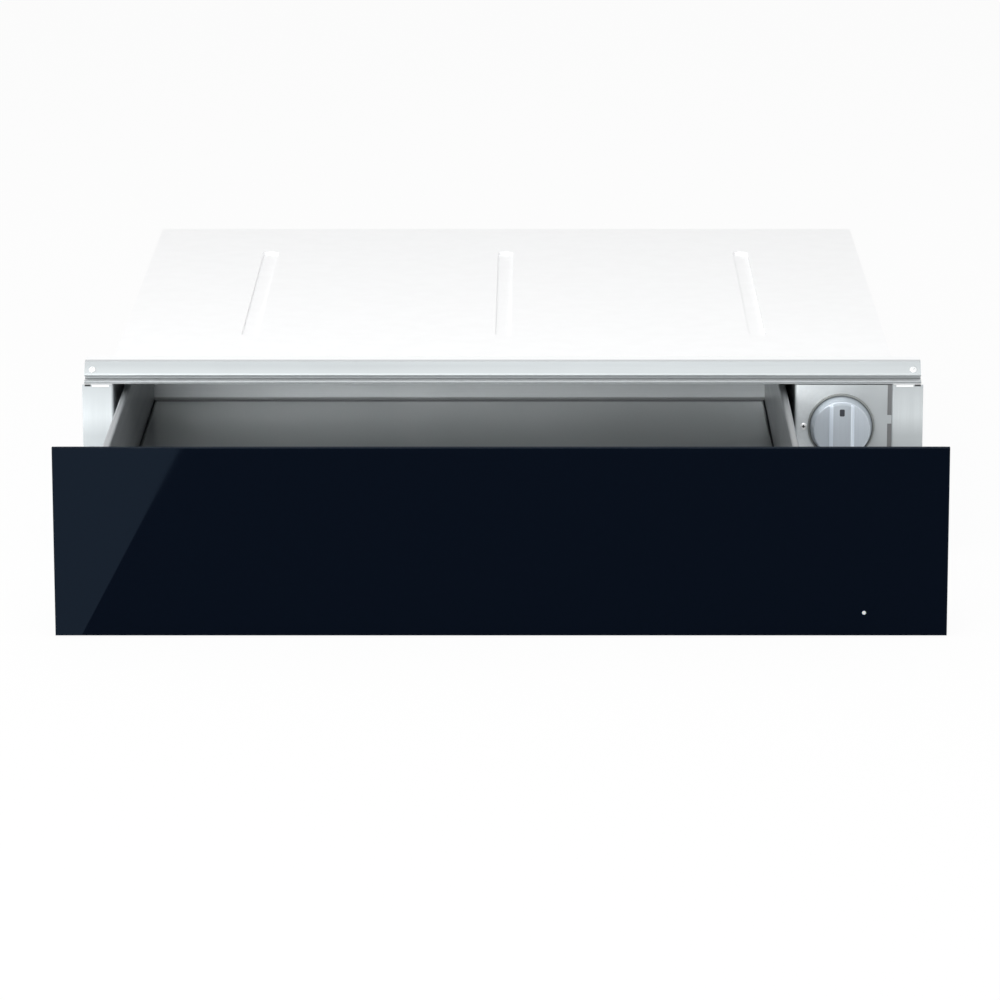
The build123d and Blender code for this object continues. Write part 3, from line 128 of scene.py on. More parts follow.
# ------------------------------------------------------------------------------------------- node trees
class Tree:
    """A short hand for writing into a shader or geometry node tree."""

    def __init__(self, tree: NodeTree) -> None:
        """Keep the tree that is written into."""
        self.tree = tree

    def add(self, kind: str, inputs: dict[str | int, Value] | None = None, **settings: Value) -> Node:
        """Add one node.

        Args:
            kind: The node's type name.
            inputs: Values or sockets for its inputs, by name or place.
            settings: The node's own properties.

        Returns:
            The new node.
        """
        node = self.tree.nodes.new(kind)
        for key, value in settings.items():
            setattr(node, key, value)
        for key, value in (inputs or {}).items():
            self.feed(node.inputs[key], value)
        return node

    def feed(self, socket: Socket, value: Value) -> None:
        """Give an input a value, or link a socket to it.

        Args:
            socket: The input.
            value: A plain value, or the output socket to link.
        """
        if isinstance(value, Socket):
            self.tree.links.new(value, socket)
        else:
            socket.default_value = value

    def math(self, operation: str, *values: Value, clamp: bool = False) -> Socket:
        """Return the result of a Math node, kept from 0 to 1 where clamp says so."""
        node = self.add("ShaderNodeMath", dict(enumerate(values)), operation=operation, use_clamp=clamp)
        return node.outputs[0]

    def times(self, first: Value, second: Value) -> Socket:
        """Return the product of two values."""
        return self.math("MULTIPLY", first, second)

    def plus(self, first: Value, second: Value, clamp: bool = False) -> Socket:
        """Return the sum of two values, kept from 0 to 1 where clamp says so."""
        return self.math("ADD", first, second, clamp=clamp)

    def spread(self, value: Value, start: float, end: float, low: float = 0.0, high: float = 1.0) -> Socket:
        """Return a value spread from start and end to low and high, and kept between these."""
        return self.add("ShaderNodeMapRange", {0: value, 1: start, 2: end, 3: low, 4: high}).outputs[0]

    def mix(self, factor: Value, first: Value, second: Value) -> Socket:
        """Return a mixture of two colours.

        Args:
            factor: The share of the second colour.
            first: A colour, as three or four numbers or a socket.
            second: The other colour.

        Returns:
            The result socket.
        """
        node = self.add("ShaderNodeMix", {"Factor": factor}, data_type="RGBA")
        self.feed(node.inputs[6], opaque(first))
        self.feed(node.inputs[7], opaque(second))
        return node.outputs[2]

    def bump(self, height: Value, strength: float, distance: float) -> Socket:
        """Return a normal that follows a height from 0 to 1, where 1 is a distance in metres."""
        node = self.add("ShaderNodeBump", {"Strength": strength, "Distance": distance, "Height": height})
        return node.outputs[0]

    def where(self) -> Socket:
        """Return the place on the piece."""
        return self.add("ShaderNodeTexCoord").outputs["Object"]

    def normal(self) -> Socket:
        """Return the way the surface faces."""
        return self.add("ShaderNodeNewGeometry").outputs["Normal"]

    def parts(self, vector: Socket) -> bpy.types.NodeOutputs:
        """Return a vector's three parts."""
        return self.add("ShaderNodeSeparateXYZ", {0: vector}).outputs

    def vector(self, x: Value = 0.0, y: Value = 0.0, z: Value = 0.0) -> Socket:
        """Return a vector of three parts."""
        return self.add("ShaderNodeCombineXYZ", {0: x, 1: y, 2: z}).outputs[0]

    def vector_math(self, operation: str, *values: Value, output: int = 0, **more: Value) -> Socket:
        """Return one result of a Vector Math node, with more of its inputs by name."""
        node = self.add("ShaderNodeVectorMath", {**dict(enumerate(values)), **more}, operation=operation)
        return node.outputs[output]

    def noise(self, where: Socket, scale: Value, detail: float, output: int = 0, **more: float) -> Socket:
        """Return a noise, or its colours with an output of 1, with more of its inputs by name."""
        inputs = {"Vector": where, "Scale": scale, "Detail": detail, **more}
        return self.add("ShaderNodeTexNoise", inputs).outputs[output]

    def box(self, size: Socket) -> Socket:
        """Return a box's geometry."""
        return self.add("GeometryNodeMeshCube", {"Size": size}).outputs[0]

    def moved(self, geometry: Socket, **change: Value) -> Socket:
        """Return a geometry after a change of Translation, Rotation or Scale."""
        return self.add("GeometryNodeTransform", {"Geometry": geometry, **change}).outputs[0]

    def minus(self, first: Socket, second: Socket) -> Socket:
        """Return a geometry with another one cut out of it."""
        return self.add("GeometryNodeMeshBoolean", {"Mesh 1": first, "Mesh 2": second},
                        operation="DIFFERENCE").outputs[0]


def opaque(colour: Value) -> Value:
    """Return a colour of three numbers with an alpha of 1, and anything else as it is."""
    return (*colour, 1.0) if isinstance(colour, tuple) and len(colour) == 3 else colour


def scaled(colour: Colour, factor: float) -> Colour:
    """Return a colour made lighter or darker by a factor."""
    red, green, blue = (min(1.0, part * factor) for part in colour)
    return red, green, blue


def node_group(
    kind: str,
    name: str,
    inputs: dict[str, tuple[str, Value]],
    outputs: dict[str, str],
    write: Callable[[Tree, Node], Sockets],
) -> NodeTree:
    """Make a node group, once.

    Args:
        kind: ShaderNodeTree or GeometryNodeTree.
        name: The group's name.
        inputs: Each input's socket type and default, by name.
        outputs: Each output's socket type, by name.
        write: Fills the tree and returns the socket for each output.

    Returns:
        The group.
    """
    found = bpy.data.node_groups.get(name)
    if found is not None:
        return found
    group = bpy.data.node_groups.new(name, kind)
    for label, (socket_type, default) in inputs.items():
        socket = group.interface.new_socket(name=label, in_out="INPUT", socket_type=socket_type)
        if default is not None:
            socket.default_value = default
    for label, socket_type in outputs.items():
        group.interface.new_socket(name=label, in_out="OUTPUT", socket_type=socket_type)
    tree = Tree(group)
    results = write(tree, tree.add("NodeGroupInput"))
    end = tree.add("NodeGroupOutput")
    for label, socket in results.items():
        tree.feed(end.inputs[label], socket)
    return group


def new_material(name: str, surface: Callable[[Tree], Socket]) -> bpy.types.Material:
    """Make a material.

    Args:
        name: Its name.
        surface: Writes its nodes and returns the shader's output.

    Returns:
        The material.
    """
    made = bpy.data.materials.new(name)
    made.use_nodes = True
    made.node_tree.nodes.clear()
    tree = Tree(made.node_tree)
    tree.feed(tree.add("ShaderNodeOutputMaterial").inputs["Surface"], surface(tree))
    return made


# ------------------------------------------------------------------------------------- shared effects
@dataclass(frozen=True)
class Effect(ABC):
    """A shader group that more than one finish uses.

    Attributes:
        name: The group's name.
        inputs: The defaults of its inputs, by name.
        outputs: The names of its outputs.
    """

    name: str
    inputs: dict[str, Value]
    outputs: tuple[str, ...]

    def place(self, tree: Tree, **values: Value) -> bpy.types.NodeOutputs:
        """Put the group into a material with its own values.

        Args:
            tree: The material's tree.
            values: The group's inputs, by name.

        Returns:
            The group's outputs.
        """
        inputs = {label: (VECTOR if isinstance(default, tuple) else FLOAT, default)
                  for label, default in self.inputs.items()}
        group = node_group("ShaderNodeTree", self.name, inputs, dict.fromkeys(self.outputs, FLOAT), self.write)
        return tree.add("ShaderNodeGroup", values, node_tree=group).outputs

    @abstractmethod
    def write(self, tree: Tree, start: Node) -> Sockets:
        """Write the group's nodes and return the socket for each of its outputs."""


class StreakEffect(Effect):
    """Fine parallel streaks, as brushing and rolling leave."""

    def write(self, tree: Tree, start: Node) -> Sockets:
        """Write fine streaks over broader bands.

        Args:
            tree: The group's tree.
            start: Its inputs.

        Returns:
            The socket for each output.
        """
        stretched = tree.vector_math("MULTIPLY", tree.where(), start.outputs["Stretch"])
        fine = tree.noise(stretched, 4.0, 3.0, Roughness=0.7)
        broad = tree.noise(stretched, 0.45, 4.0, Roughness=0.55)
        streak = tree.plus(tree.times(fine, 0.6), tree.times(broad, 0.4))
        return {"Streak": tree.spread(streak, 0.3, 0.7), "Band": tree.spread(broad, 0.3, 0.7)}


class EdgeWearAndHighlightEffect(Effect):
    """Brighter edges where the surface turns: wear on most finishes, and painted highlights along the bends of the
    trim strip.
    """

    def write(self, tree: Tree, start: Node) -> Sockets:
        """Write a mark where the surface turns, broken up by a noise.

        Args:
            tree: The group's tree.
            start: Its inputs.

        Returns:
            The socket for each output.
        """
        rounded = tree.add("ShaderNodeBevel", {"Radius": start.outputs["Width"]}, samples=4).outputs[0]
        agree = tree.vector_math("DOT_PRODUCT", rounded, tree.normal(), output=1)
        edge = tree.spread(agree, 0.995, 0.8)
        share = tree.spread(tree.noise(tree.where(), 55.0, 4.0), 0.3, 0.65, 0.25, 1.0)
        return {"WearAndHighlight": tree.times(tree.times(edge, share), start.outputs["Amount"])}


class HandlingEffect(Effect):
    """Soft smudges and settled dust."""

    def write(self, tree: Tree, start: Node) -> Sockets:
        """Write clouds of smudges, and specks of dust on what faces up.

        Args:
            tree: The group's tree.
            start: Its inputs.

        Returns:
            The socket for each output.
        """
        where, amount = tree.where(), start.outputs["Amount"]
        cloud = tree.noise(where, start.outputs["Scale"], 5.0, Roughness=0.6, Distortion=0.4)
        specks = tree.spread(tree.noise(where, 900.0, 2.0), 0.5, 0.8)
        lying = tree.spread(tree.parts(tree.normal())[2], 0.6, 1.0)
        return {"Smudge": tree.times(tree.spread(cloud, 0.48, 0.72), amount),
                "Dust": tree.times(tree.times(specks, lying), amount)}


class PebbleEffect(Effect):
    """Fine mould texture, for plastics, rubber and paint."""

    def write(self, tree: Tree, start: Node) -> Sockets:
        """Write small soft cells and a cloudy tone.

        Args:
            tree: The group's tree.
            start: Its inputs.

        Returns:
            The socket for each output.
        """
        where = tree.where()
        cells = tree.add("ShaderNodeTexVoronoi", {"Vector": where, "Scale": start.outputs["Scale"]},
                         feature="SMOOTH_F1").outputs["Distance"]
        tone = tree.noise(where, 70.0, 4.0)
        return {"Height": tree.spread(cells, 0.0, 0.8), "Tone": tree.spread(tone, 0.35, 0.65)}


STREAKS = StreakEffect("effect_grain", {"Stretch": Grain.EVEN.value}, ("Streak", "Band"))
EDGE_WEAR_AND_HIGHLIGHT = EdgeWearAndHighlightEffect("effect_edge_wear_and_highlight", {"Width": 0.6 * MM, "Amount": 0.5}, ("WearAndHighlight",))
HANDLING = HandlingEffect("effect_handling", {"Scale": 14.0, "Amount": 0.4}, ("Smudge", "Dust"))
PEBBLE = PebbleEffect("effect_pebble", {"Scale": 1600.0}, ("Height", "Tone"))


# ------------------------------------------------------------------------------------------- finishes
@dataclass(frozen=True)
class Finish(ABC):
    """One surface finish.

    Attributes:
        name: The material's name.
        colour: Its main colour.
        roughness: How matt it is.
    """

    name: str
    colour: Colour
    roughness: float

    def material(self) -> bpy.types.Material:
        """Make the finish's material, once.

        Returns:
            The material.
        """
        found = bpy.data.materials.get(self.name)
        if found is None:
            found = new_material(self.name, self.surface)
            found.diffuse_color = (*self.colour, 1.0)
        return found

    def shader(self, tree: Tree, inputs: dict[str, Value]) -> Socket:
        """Add the Principled shader and return its output."""
        return tree.add("ShaderNodeBsdfPrincipled", inputs).outputs[0]

    def toned(self, tree: Tree, share: Value, dark: float, light: float) -> Socket:
        """Return the colour between a darker and a lighter tone of itself."""
        return tree.mix(share, scaled(self.colour, dark), scaled(self.colour, light))

    def matt(self, tree: Tree, tone: Socket, swing: float, smudge: Socket, share: float) -> Socket:
        """Return a roughness that swings with a tone and is raised by smudges.

        Args:
            tree: The material's tree.
            tone: The tone, from 0 to 1.
            swing: How far the roughness goes down and up with it.
            smudge: The smudges, from 0 to 1.
            share: How much a full smudge adds.

        Returns:
            The roughness.
        """
        swung = tree.spread(tone, 0.0, 1.0, self.roughness - swing, self.roughness + swing)
        return tree.plus(swung, tree.times(smudge, share), clamp=True)

    @abstractmethod
    def surface(self, tree: Tree) -> Socket:
        """Write the nodes and return the shader's output."""


@dataclass(frozen=True)
class Zone:
    """A part of a piece, between limits along the three axes, that has another colour, most often painted shade and
    painted highlights.

    Attributes:
        colour: Its colour.
        metallic: How much of a bare metal it is there.
        soft: How wide its edges fade, in metres.
        x: Its start and end to the right, with None where it has none.
        y: Its start and end into the cabinet.
        z: Its start and end upwards.
    """

    colour: Colour
    metallic: float = 0.0
    soft: float = SOFT
    x: Span = OPEN
    y: Span = OPEN
    z: Span = OPEN

    def mask(self, tree: Tree) -> Value:
        """Mark the zone.

        Args:
            tree: The material's tree.

        Returns:
            1 inside the zone and 0 outside it.
        """
        inside: Value = 1.0
        for along, (start, end) in zip(tree.parts(tree.where()), (self.x, self.y, self.z)):
            if start is not None:
                inside = tree.times(inside, tree.spread(along, start, start + self.soft))
            if end is not None:
                inside = tree.times(inside, tree.spread(along, end - self.soft, end, 1.0, 0.0))
        return inside


@dataclass(frozen=True)
class BrushedSheet(Finish):
    """Sheet metal with a directional grain, handled now and then.

    Attributes:
        grain: The way the grain runs.
        metallic: How much of a bare metal it is; less where it carries a clear or pale coat.
        depth: The grain's depth, in metres.
        edge_wear_and_highlight: How bright its edges are; on the trim strip these bright edges are painted
            highlights along its bends.
        smudge: How much handling shows.
        zones: Its parts that have another colour, most often painted shade and painted highlights.
    """

    grain: Grain = Grain.ALONG_X
    metallic: float = 1.0
    depth: float = 0.01 * MM
    edge_wear_and_highlight: float = 0.35
    smudge: float = 0.35
    zones: tuple[Zone, ...] = ()

    def surface(self, tree: Tree) -> Socket:
        """Write the nodes.

        Args:
            tree: The material's tree.

        Returns:
            The shader's output.
        """
        grain = STREAKS.place(tree, Stretch=self.grain.value)
        edge_wear_and_highlight = EDGE_WEAR_AND_HIGHLIGHT.place(tree, Width=EDGE_WEAR_AND_HIGHLIGHT_WIDTH, Amount=self.edge_wear_and_highlight)
        touched = HANDLING.place(tree, Scale=9.0, Amount=self.smudge)
        worn_and_highlit = tree.mix(edge_wear_and_highlight["WearAndHighlight"], self.toned(tree, grain["Streak"], 0.94, 1.05), scaled(self.colour, 1.25))
        colour = tree.mix(tree.times(touched["Dust"], 0.2), worn_and_highlit, STEEL_DUST)
        metallic: Value = self.metallic
        for zone in self.zones:
            inside = zone.mask(tree)
            colour = tree.mix(inside, colour, zone.colour)
            outside = tree.math("SUBTRACT", 1.0, inside)
            metallic = tree.plus(tree.times(metallic, outside), tree.times(zone.metallic, inside))
        return self.shader(tree, {
            "Base Color": colour,
            "Metallic": metallic,
            "Roughness": self.matt(tree, grain["Band"], 0.05, touched["Smudge"], 0.12),
            "Normal": tree.bump(grain["Streak"], 0.35, self.depth),
        })


@dataclass(frozen=True)
class Galvanised(Finish):
    """Zinc-coated sheet with a soft spangle of crystals.

    Attributes:
        spangle: The crystals' size, as a pattern scale.
    """

    spangle: float = 170.0

    def surface(self, tree: Tree) -> Socket:
        """Write the nodes.

        Args:
            tree: The material's tree.

        Returns:
            The shader's output.
        """
        where = tree.where()
        bent = tree.vector_math("SCALE", tree.noise(where, 30.0, 3.0, output=1), Scale=0.01)
        moved = tree.vector_math("ADD", where, bent)
        crystal = tree.add("ShaderNodeTexVoronoi", {"Vector": moved, "Scale": self.spangle}).outputs["Color"]
        tone = tree.parts(crystal)[0]
        edge_wear_and_highlight = EDGE_WEAR_AND_HIGHLIGHT.place(tree, Width=EDGE_WEAR_AND_HIGHLIGHT_WIDTH, Amount=0.4)
        touched = HANDLING.place(tree, Scale=6.0, Amount=0.5)
        worn_and_highlit = tree.mix(edge_wear_and_highlight["WearAndHighlight"], self.toned(tree, tone, 0.91, 1.07), scaled(self.colour, 1.3))
        return self.shader(tree, {
            "Base Color": tree.mix(tree.times(touched["Dust"], 0.35), worn_and_highlit, ZINC_DUST),
            "Metallic": 1.0,
            "Roughness": self.matt(tree, tone, 0.08, touched["Smudge"], 0.15),
            "Normal": tree.bump(tone, 0.15, 0.02 * MM),
        })


@dataclass(frozen=True)
class PolishedMetal(Finish):
    """Bright turned, drawn or plated metal.

    Attributes:
        scratch: How strong its fine marks are.
    """

    scratch: float = 0.4

    def surface(self, tree: Tree) -> Socket:
        """Write the nodes.

        Args:
            tree: The material's tree.

        Returns:
            The shader's output.
        """
        grain = STREAKS.place(tree, Stretch=Grain.EVEN.value)
        touched = HANDLING.place(tree, Scale=40.0, Amount=self.scratch)
        return self.shader(tree, {
            "Base Color": self.toned(tree, grain["Band"], 0.93, 1.04),
            "Metallic": 1.0,
            "Roughness": tree.plus(self.roughness, tree.times(touched["Smudge"], 0.2), clamp=True),
            "Normal": tree.bump(grain["Streak"], 0.2 * self.scratch, 0.01 * MM),
        })


@dataclass(frozen=True)
class Moulded(Finish):
    """Moulded plastic, rubber or cast paint with a fine mould texture.

    Attributes:
        texture: The texture's depth, in metres.
        edge_wear_and_highlight: How pale its edges are.
        metallic: The share of metal in a lacquer.
        variation: How far its colour varies.
        specular: How strongly its plain surface mirrors.
    """

    texture: float = 0.01 * MM
    edge_wear_and_highlight: float = 0.15
    metallic: float = 0.0
    variation: float = 0.045
    specular: float = 0.5

    def surface(self, tree: Tree) -> Socket:
        """Write the nodes.

        Args:
            tree: The material's tree.

        Returns:
            The shader's output.
        """
        pebble = PEBBLE.place(tree, Scale=1600.0)
        edge_wear_and_highlight = EDGE_WEAR_AND_HIGHLIGHT.place(tree, Width=0.8 * EDGE_WEAR_AND_HIGHLIGHT_WIDTH, Amount=self.edge_wear_and_highlight)
        touched = HANDLING.place(tree, Scale=30.0, Amount=0.3)
        toned = self.toned(tree, pebble["Tone"], 1.0 - self.variation, 1.0 + self.variation)
        return self.shader(tree, {
            "Base Color": tree.mix(edge_wear_and_highlight["WearAndHighlight"], toned, tuple(0.6 * part + 0.4 for part in self.colour)),
            "Metallic": self.metallic,
            "Roughness": self.matt(tree, pebble["Tone"], 0.03, touched["Smudge"], 0.1),
            "Normal": tree.bump(pebble["Height"], 0.3, self.texture),
            "Specular IOR Level": self.specular,
        })


@dataclass(frozen=True)
class DarkGlass(Finish):
    """Flat glass printed on its back, so that it is opaque, with wipe marks that only its gloss shows.

    Attributes:
        face: The axis that its polished face looks along; its ground edges look along the others.
        specular: How strongly it mirrors.
        tint: The colour it gives to what it mirrors.
        border: The parts that are darker.
    """

    face: int = 1
    specular: float = 0.5
    tint: Colour = (1.0, 1.0, 1.0)
    border: tuple[Zone, ...] = ()

    def surface(self, tree: Tree) -> Socket:
        """Write the nodes.

        Args:
            tree: The material's tree.

        Returns:
            The shader's output.
        """
        touched = HANDLING.place(tree, Scale=5.0, Amount=1.0)
        edge = EDGE_WEAR_AND_HIGHLIGHT.place(tree, Width=EDGE_WEAR_AND_HIGHLIGHT_WIDTH, Amount=0.5)
        colour = tree.mix(edge["WearAndHighlight"], self.colour, GROUND_GLASS)
        for zone in self.border:
            colour = tree.mix(zone.mask(tree), colour, zone.colour)
        facing = tree.math("ABSOLUTE", tree.parts(tree.normal())[self.face])
        ground = tree.spread(facing, 0.8, 0.95, 1.0, self.roughness)
        return self.shader(tree, {
            "Base Color": tree.mix(tree.times(touched["Dust"], 0.15), colour, GLASS_DUST),
            "Roughness": tree.plus(tree.times(touched["Smudge"], 0.03), ground),
            "IOR": 1.5,
            "Specular IOR Level": self.specular,
            "Specular Tint": (*self.tint, 1.0),
        })


@dataclass(frozen=True)
class ClearPiece(Finish):
    """Clear or frosted plastic of a lamp or a light guide."""

    def surface(self, tree: Tree) -> Socket:
        """Write the nodes.

        Args:
            tree: The material's tree.

        Returns:
            The shader's output.
        """
        smudge = HANDLING.place(tree, Scale=60.0, Amount=0.4)["Smudge"]
        return self.shader(tree, {
            "Base Color": tree.mix(smudge, self.colour, scaled(self.colour, 0.8)),
            "Roughness": tree.plus(self.roughness, tree.times(smudge, 0.1)),
            "IOR": 1.49,
            "Subsurface Weight": 0.3,
            "Subsurface Scale": 1.0 * MM,
        })


@dataclass(frozen=True)
class Fleece(Finish):
    """Needled glass fleece."""

    def surface(self, tree: Tree) -> Socket:
        """Write the nodes.

        Args:
            tree: The material's tree.

        Returns:
            The shader's output.
        """
        where = tree.where()
        fibres = tree.noise(where, 700.0, 6.0, Distortion=2.5)
        patch = tree.noise(where, 25.0, 3.0)
        return self.shader(tree, {
            "Base Color": tree.mix(patch, self.toned(tree, fibres, 0.7, 1.1), scaled(self.colour, 0.85)),
            "Roughness": self.roughness,
            "Sheen Weight": 0.2,
            "Normal": tree.bump(fibres, 0.8, 0.4 * MM),
        })


@dataclass(frozen=True)
class HeatedSheath(Finish):
    """A heater's metal sheath with the blue and straw colours that heat leaves."""

    def surface(self, tree: Tree) -> Socket:
        """Write the nodes.

        Args:
            tree: The material's tree.

        Returns:
            The shader's output.
        """
        where = tree.where()
        zone = tree.noise(where, 9.0, 2.0)
        straw = tree.mix(tree.spread(zone, 0.4, 0.6), self.colour, STRAW_TINT)
        blue = tree.mix(tree.spread(zone, 0.55, 0.68, 0.0, 0.8), straw, BLUE_TINT)
        fine = tree.noise(where, 800.0, 3.0)
        return self.shader(tree, {
            "Base Color": tree.mix(tree.spread(fine, 0.4, 0.7, 0.0, 0.3), blue, BURNT),
            "Metallic": 1.0,
            "Roughness": tree.spread(fine, 0.3, 0.7, self.roughness - 0.08, self.roughness + 0.12),
            "Normal": tree.bump(fine, 0.25, 0.02 * MM),
        })


@dataclass(frozen=True)
class LaminatedIron(Finish):
    """A motor's stack of iron sheets, seen from its edges."""

    def surface(self, tree: Tree) -> Socket:
        """Write the nodes.

        Args:
            tree: The material's tree.

        Returns:
            The shader's output.
        """
        where = tree.where()
        sheets = tree.add("ShaderNodeTexWave", {"Vector": where, "Scale": 320.0, "Distortion": 0.4},
                          bands_direction="Y").outputs["Fac"]
        rust = tree.noise(where, 60.0, 6.0)
        toned = self.toned(tree, sheets, 0.6, 1.3)
        return self.shader(tree, {
            "Base Color": tree.mix(tree.spread(rust, 0.58, 0.75, 0.0, 0.6), toned, RUST),
            "Metallic": 0.8,
            "Roughness": tree.spread(rust, 0.3, 0.7, self.roughness - 0.1, self.roughness + 0.15),
            "Normal": tree.bump(sheets, 0.5, 0.1 * MM),
        })


# Where a colour changes on a piece, most of it painted light: the painted highlight on the grip's flanks, the darker
# bands round the drawer's floor, the painted shade at the foot of the bin's rear wall, the flanges' painted shade
# and highlight, the painted shade and highlights on the folds of the trim strip from its top down, and the fascia's
# painted shade and the dark floor of its slot.
KNOB_X = 238.3 * MM
FLANK_X = 7.7 * MM
FLANK_HALF = 1.55 * MM
FLANK_FACE = -12.6 * MM
FLOOR_EDGE_REAR = 236.5 * MM
FLOOR_EDGE_LEFT = -261.0 * MM
FLOOR_EDGE_RIGHT = 193.0 * MM
BIN_FOOT_SHADE_TOP = 62.4 * MM
FLANGE_TOP = 103.0 * MM
FLANGE_LOW = 100.0 * MM
FLANGE_HEAD = 120.0 * MM
FLANGE_FACE = -1.2 * MM
TRIM_RIGHT = 100.0 * MM
TRIM_FLAT = (14.0 * MM, 137.5 * MM)
TRIM_TOP_BEND = (8.8 * MM, 138.0 * MM)
TRIM_SLOPE = 136.0 * MM
TRIM_LOW_BEND = (1.8 * MM, 130.1 * MM, 131.8 * MM)
GROOVE_BACK = (5.0 * MM, 129.4 * MM)
GROOVE_FLOOR = (0.9 * MM, 5.2 * MM, 127.0 * MM)
LIP_FACE = (0.6 * MM, 126.4 * MM)
LIP_FOOT = 125.1 * MM
FASCIA_X = 212.0 * MM
SLOT_BACK = (262.5 * MM, -0.4 * MM)

FINISHES: dict[str, Finish] = {
    "galvanised_sheet": Galvanised("finish_galvanised", ZINC, 0.42),
    "pale_coat": Moulded("finish_pale_coat", (0.967, 0.971, 0.975), 0.5, edge_wear_and_highlight=0.0, variation=0.01),
    "stainless_sheet": BrushedSheet("finish_stainless_x", STEEL, 0.36, grain=Grain.ALONG_X, metallic=0.85),
    "black_front_glass": DarkGlass("finish_black_glass", (0.0016, 0.003, 0.007), 0.025, specular=0.3,
                                   tint=(0.46, 0.7, 1.0)),
    "black_bezel": Moulded("finish_black_bezel", (0.02, 0.022, 0.025), 0.85, edge_wear_and_highlight=0.0, specular=0.1),
    # The floor glass, darker in bands along its rear, left and right edges.
    "tinted_floor_glass": DarkGlass(
        "finish_floor_glass", (0.3, 0.32, 0.325), 0.12, face=2,
        border=(Zone(FLOOR_EDGE_TONE, y=(FLOOR_EDGE_REAR, None)),
                Zone(scaled(FLOOR_EDGE_TONE, 0.3), x=(None, FLOOR_EDGE_LEFT)),
                Zone(scaled(FLOOR_EDGE_TONE, 0.3), x=(FLOOR_EDGE_RIGHT, None)))),
    "dark_seal": Moulded("finish_dark_seal", (0.03, 0.032, 0.034), 0.7, edge_wear_and_highlight=0.05),
    "glass_fleece": Fleece("finish_fleece", (0.74, 0.71, 0.64), 0.95),
    # The knob's silver lacquer, with a painted highlight on the two sloped flanks of its grip.
    "silver_knob": BrushedSheet(
        "finish_silver_knob_painted_highlight", (0.54, 0.595, 0.65), 0.36, grain=Grain.ALONG_Z, metallic=0.4, depth=0.004 * MM,
        zones=tuple(Zone(GRIP_PAINTED_HIGHLIGHT, x=(flank - FLANK_HALF, flank + FLANK_HALF), y=(None, FLANK_FACE))
                    for flank in (KNOB_X - FLANK_X, KNOB_X + FLANK_X))),
    "grey_collar": Moulded("finish_grey_collar", (0.2, 0.215, 0.21), 0.45),
    "dark_pointer": Moulded("finish_dark_pointer", (0.035, 0.038, 0.05), 0.4),
    "clear_lens": ClearPiece("finish_clear_lens", (0.62, 0.66, 0.68), 0.2),
    "zinc_rail": BrushedSheet("finish_zinc_rail", (0.66, 0.675, 0.69), 0.3, grain=Grain.ALONG_Y, smudge=0.5),
    "polished_steel": PolishedMetal("finish_polished_steel", (0.78, 0.79, 0.8), 0.2),
    "bright_reflector": BrushedSheet("finish_reflector", (0.8, 0.81, 0.82), 0.22, grain=Grain.ALONG_Y),
    "heater_sheath": HeatedSheath("finish_heater_sheath", (0.25, 0.235, 0.22), 0.38),
    "motor_iron": LaminatedIron("finish_motor_iron", (0.17, 0.17, 0.18), 0.5),
    "moulded_plastic": Moulded("finish_moulded_plastic", (0.78, 0.77, 0.73), 0.5),
}

# The bin's deck and sides, with painted shade that darkens them towards the right over a wide soft edge.
ALONG_Y_STEEL = BrushedSheet(
    "finish_stainless_y_painted_shade", (0.38, 0.4, 0.415), 0.34, grain=Grain.ALONG_Y, metallic=0.9,
    zones=(Zone((0.3, 0.315, 0.325), 0.9, 170.0 * MM, x=(0.0, None)),))
# The bin's rear wall, with painted shade along its foot where it meets the floor.
BIN_BACK_STEEL = BrushedSheet(
    "finish_bin_back_painted_shade", (0.61, 0.645, 0.66), 0.4, grain=Grain.ALONG_X, metallic=0.7,
    zones=(Zone((0.34, 0.36, 0.37), 0.3, 0.9 * MM, z=(None, BIN_FOOT_SHADE_TOP)),))
# The flanges' pale finish, with painted shade that darkens them above and below their middle height, and a painted
# highlight across the top of their front face.
PALE_FLANGE = BrushedSheet(
    "finish_pale_flange_painted_shading", PALE, 0.42, grain=Grain.ALONG_Z, metallic=0.45, depth=0.005 * MM,
    zones=(Zone((0.52, 0.555, 0.57), 0.45, 20.0 * MM, z=(FLANGE_TOP, None)),
           Zone((0.555, 0.595, 0.61), 0.45, 13.0 * MM, z=(None, FLANGE_LOW)),
           Zone(WHITE, y=(None, FLANGE_FACE), z=(FLANGE_HEAD, None))))
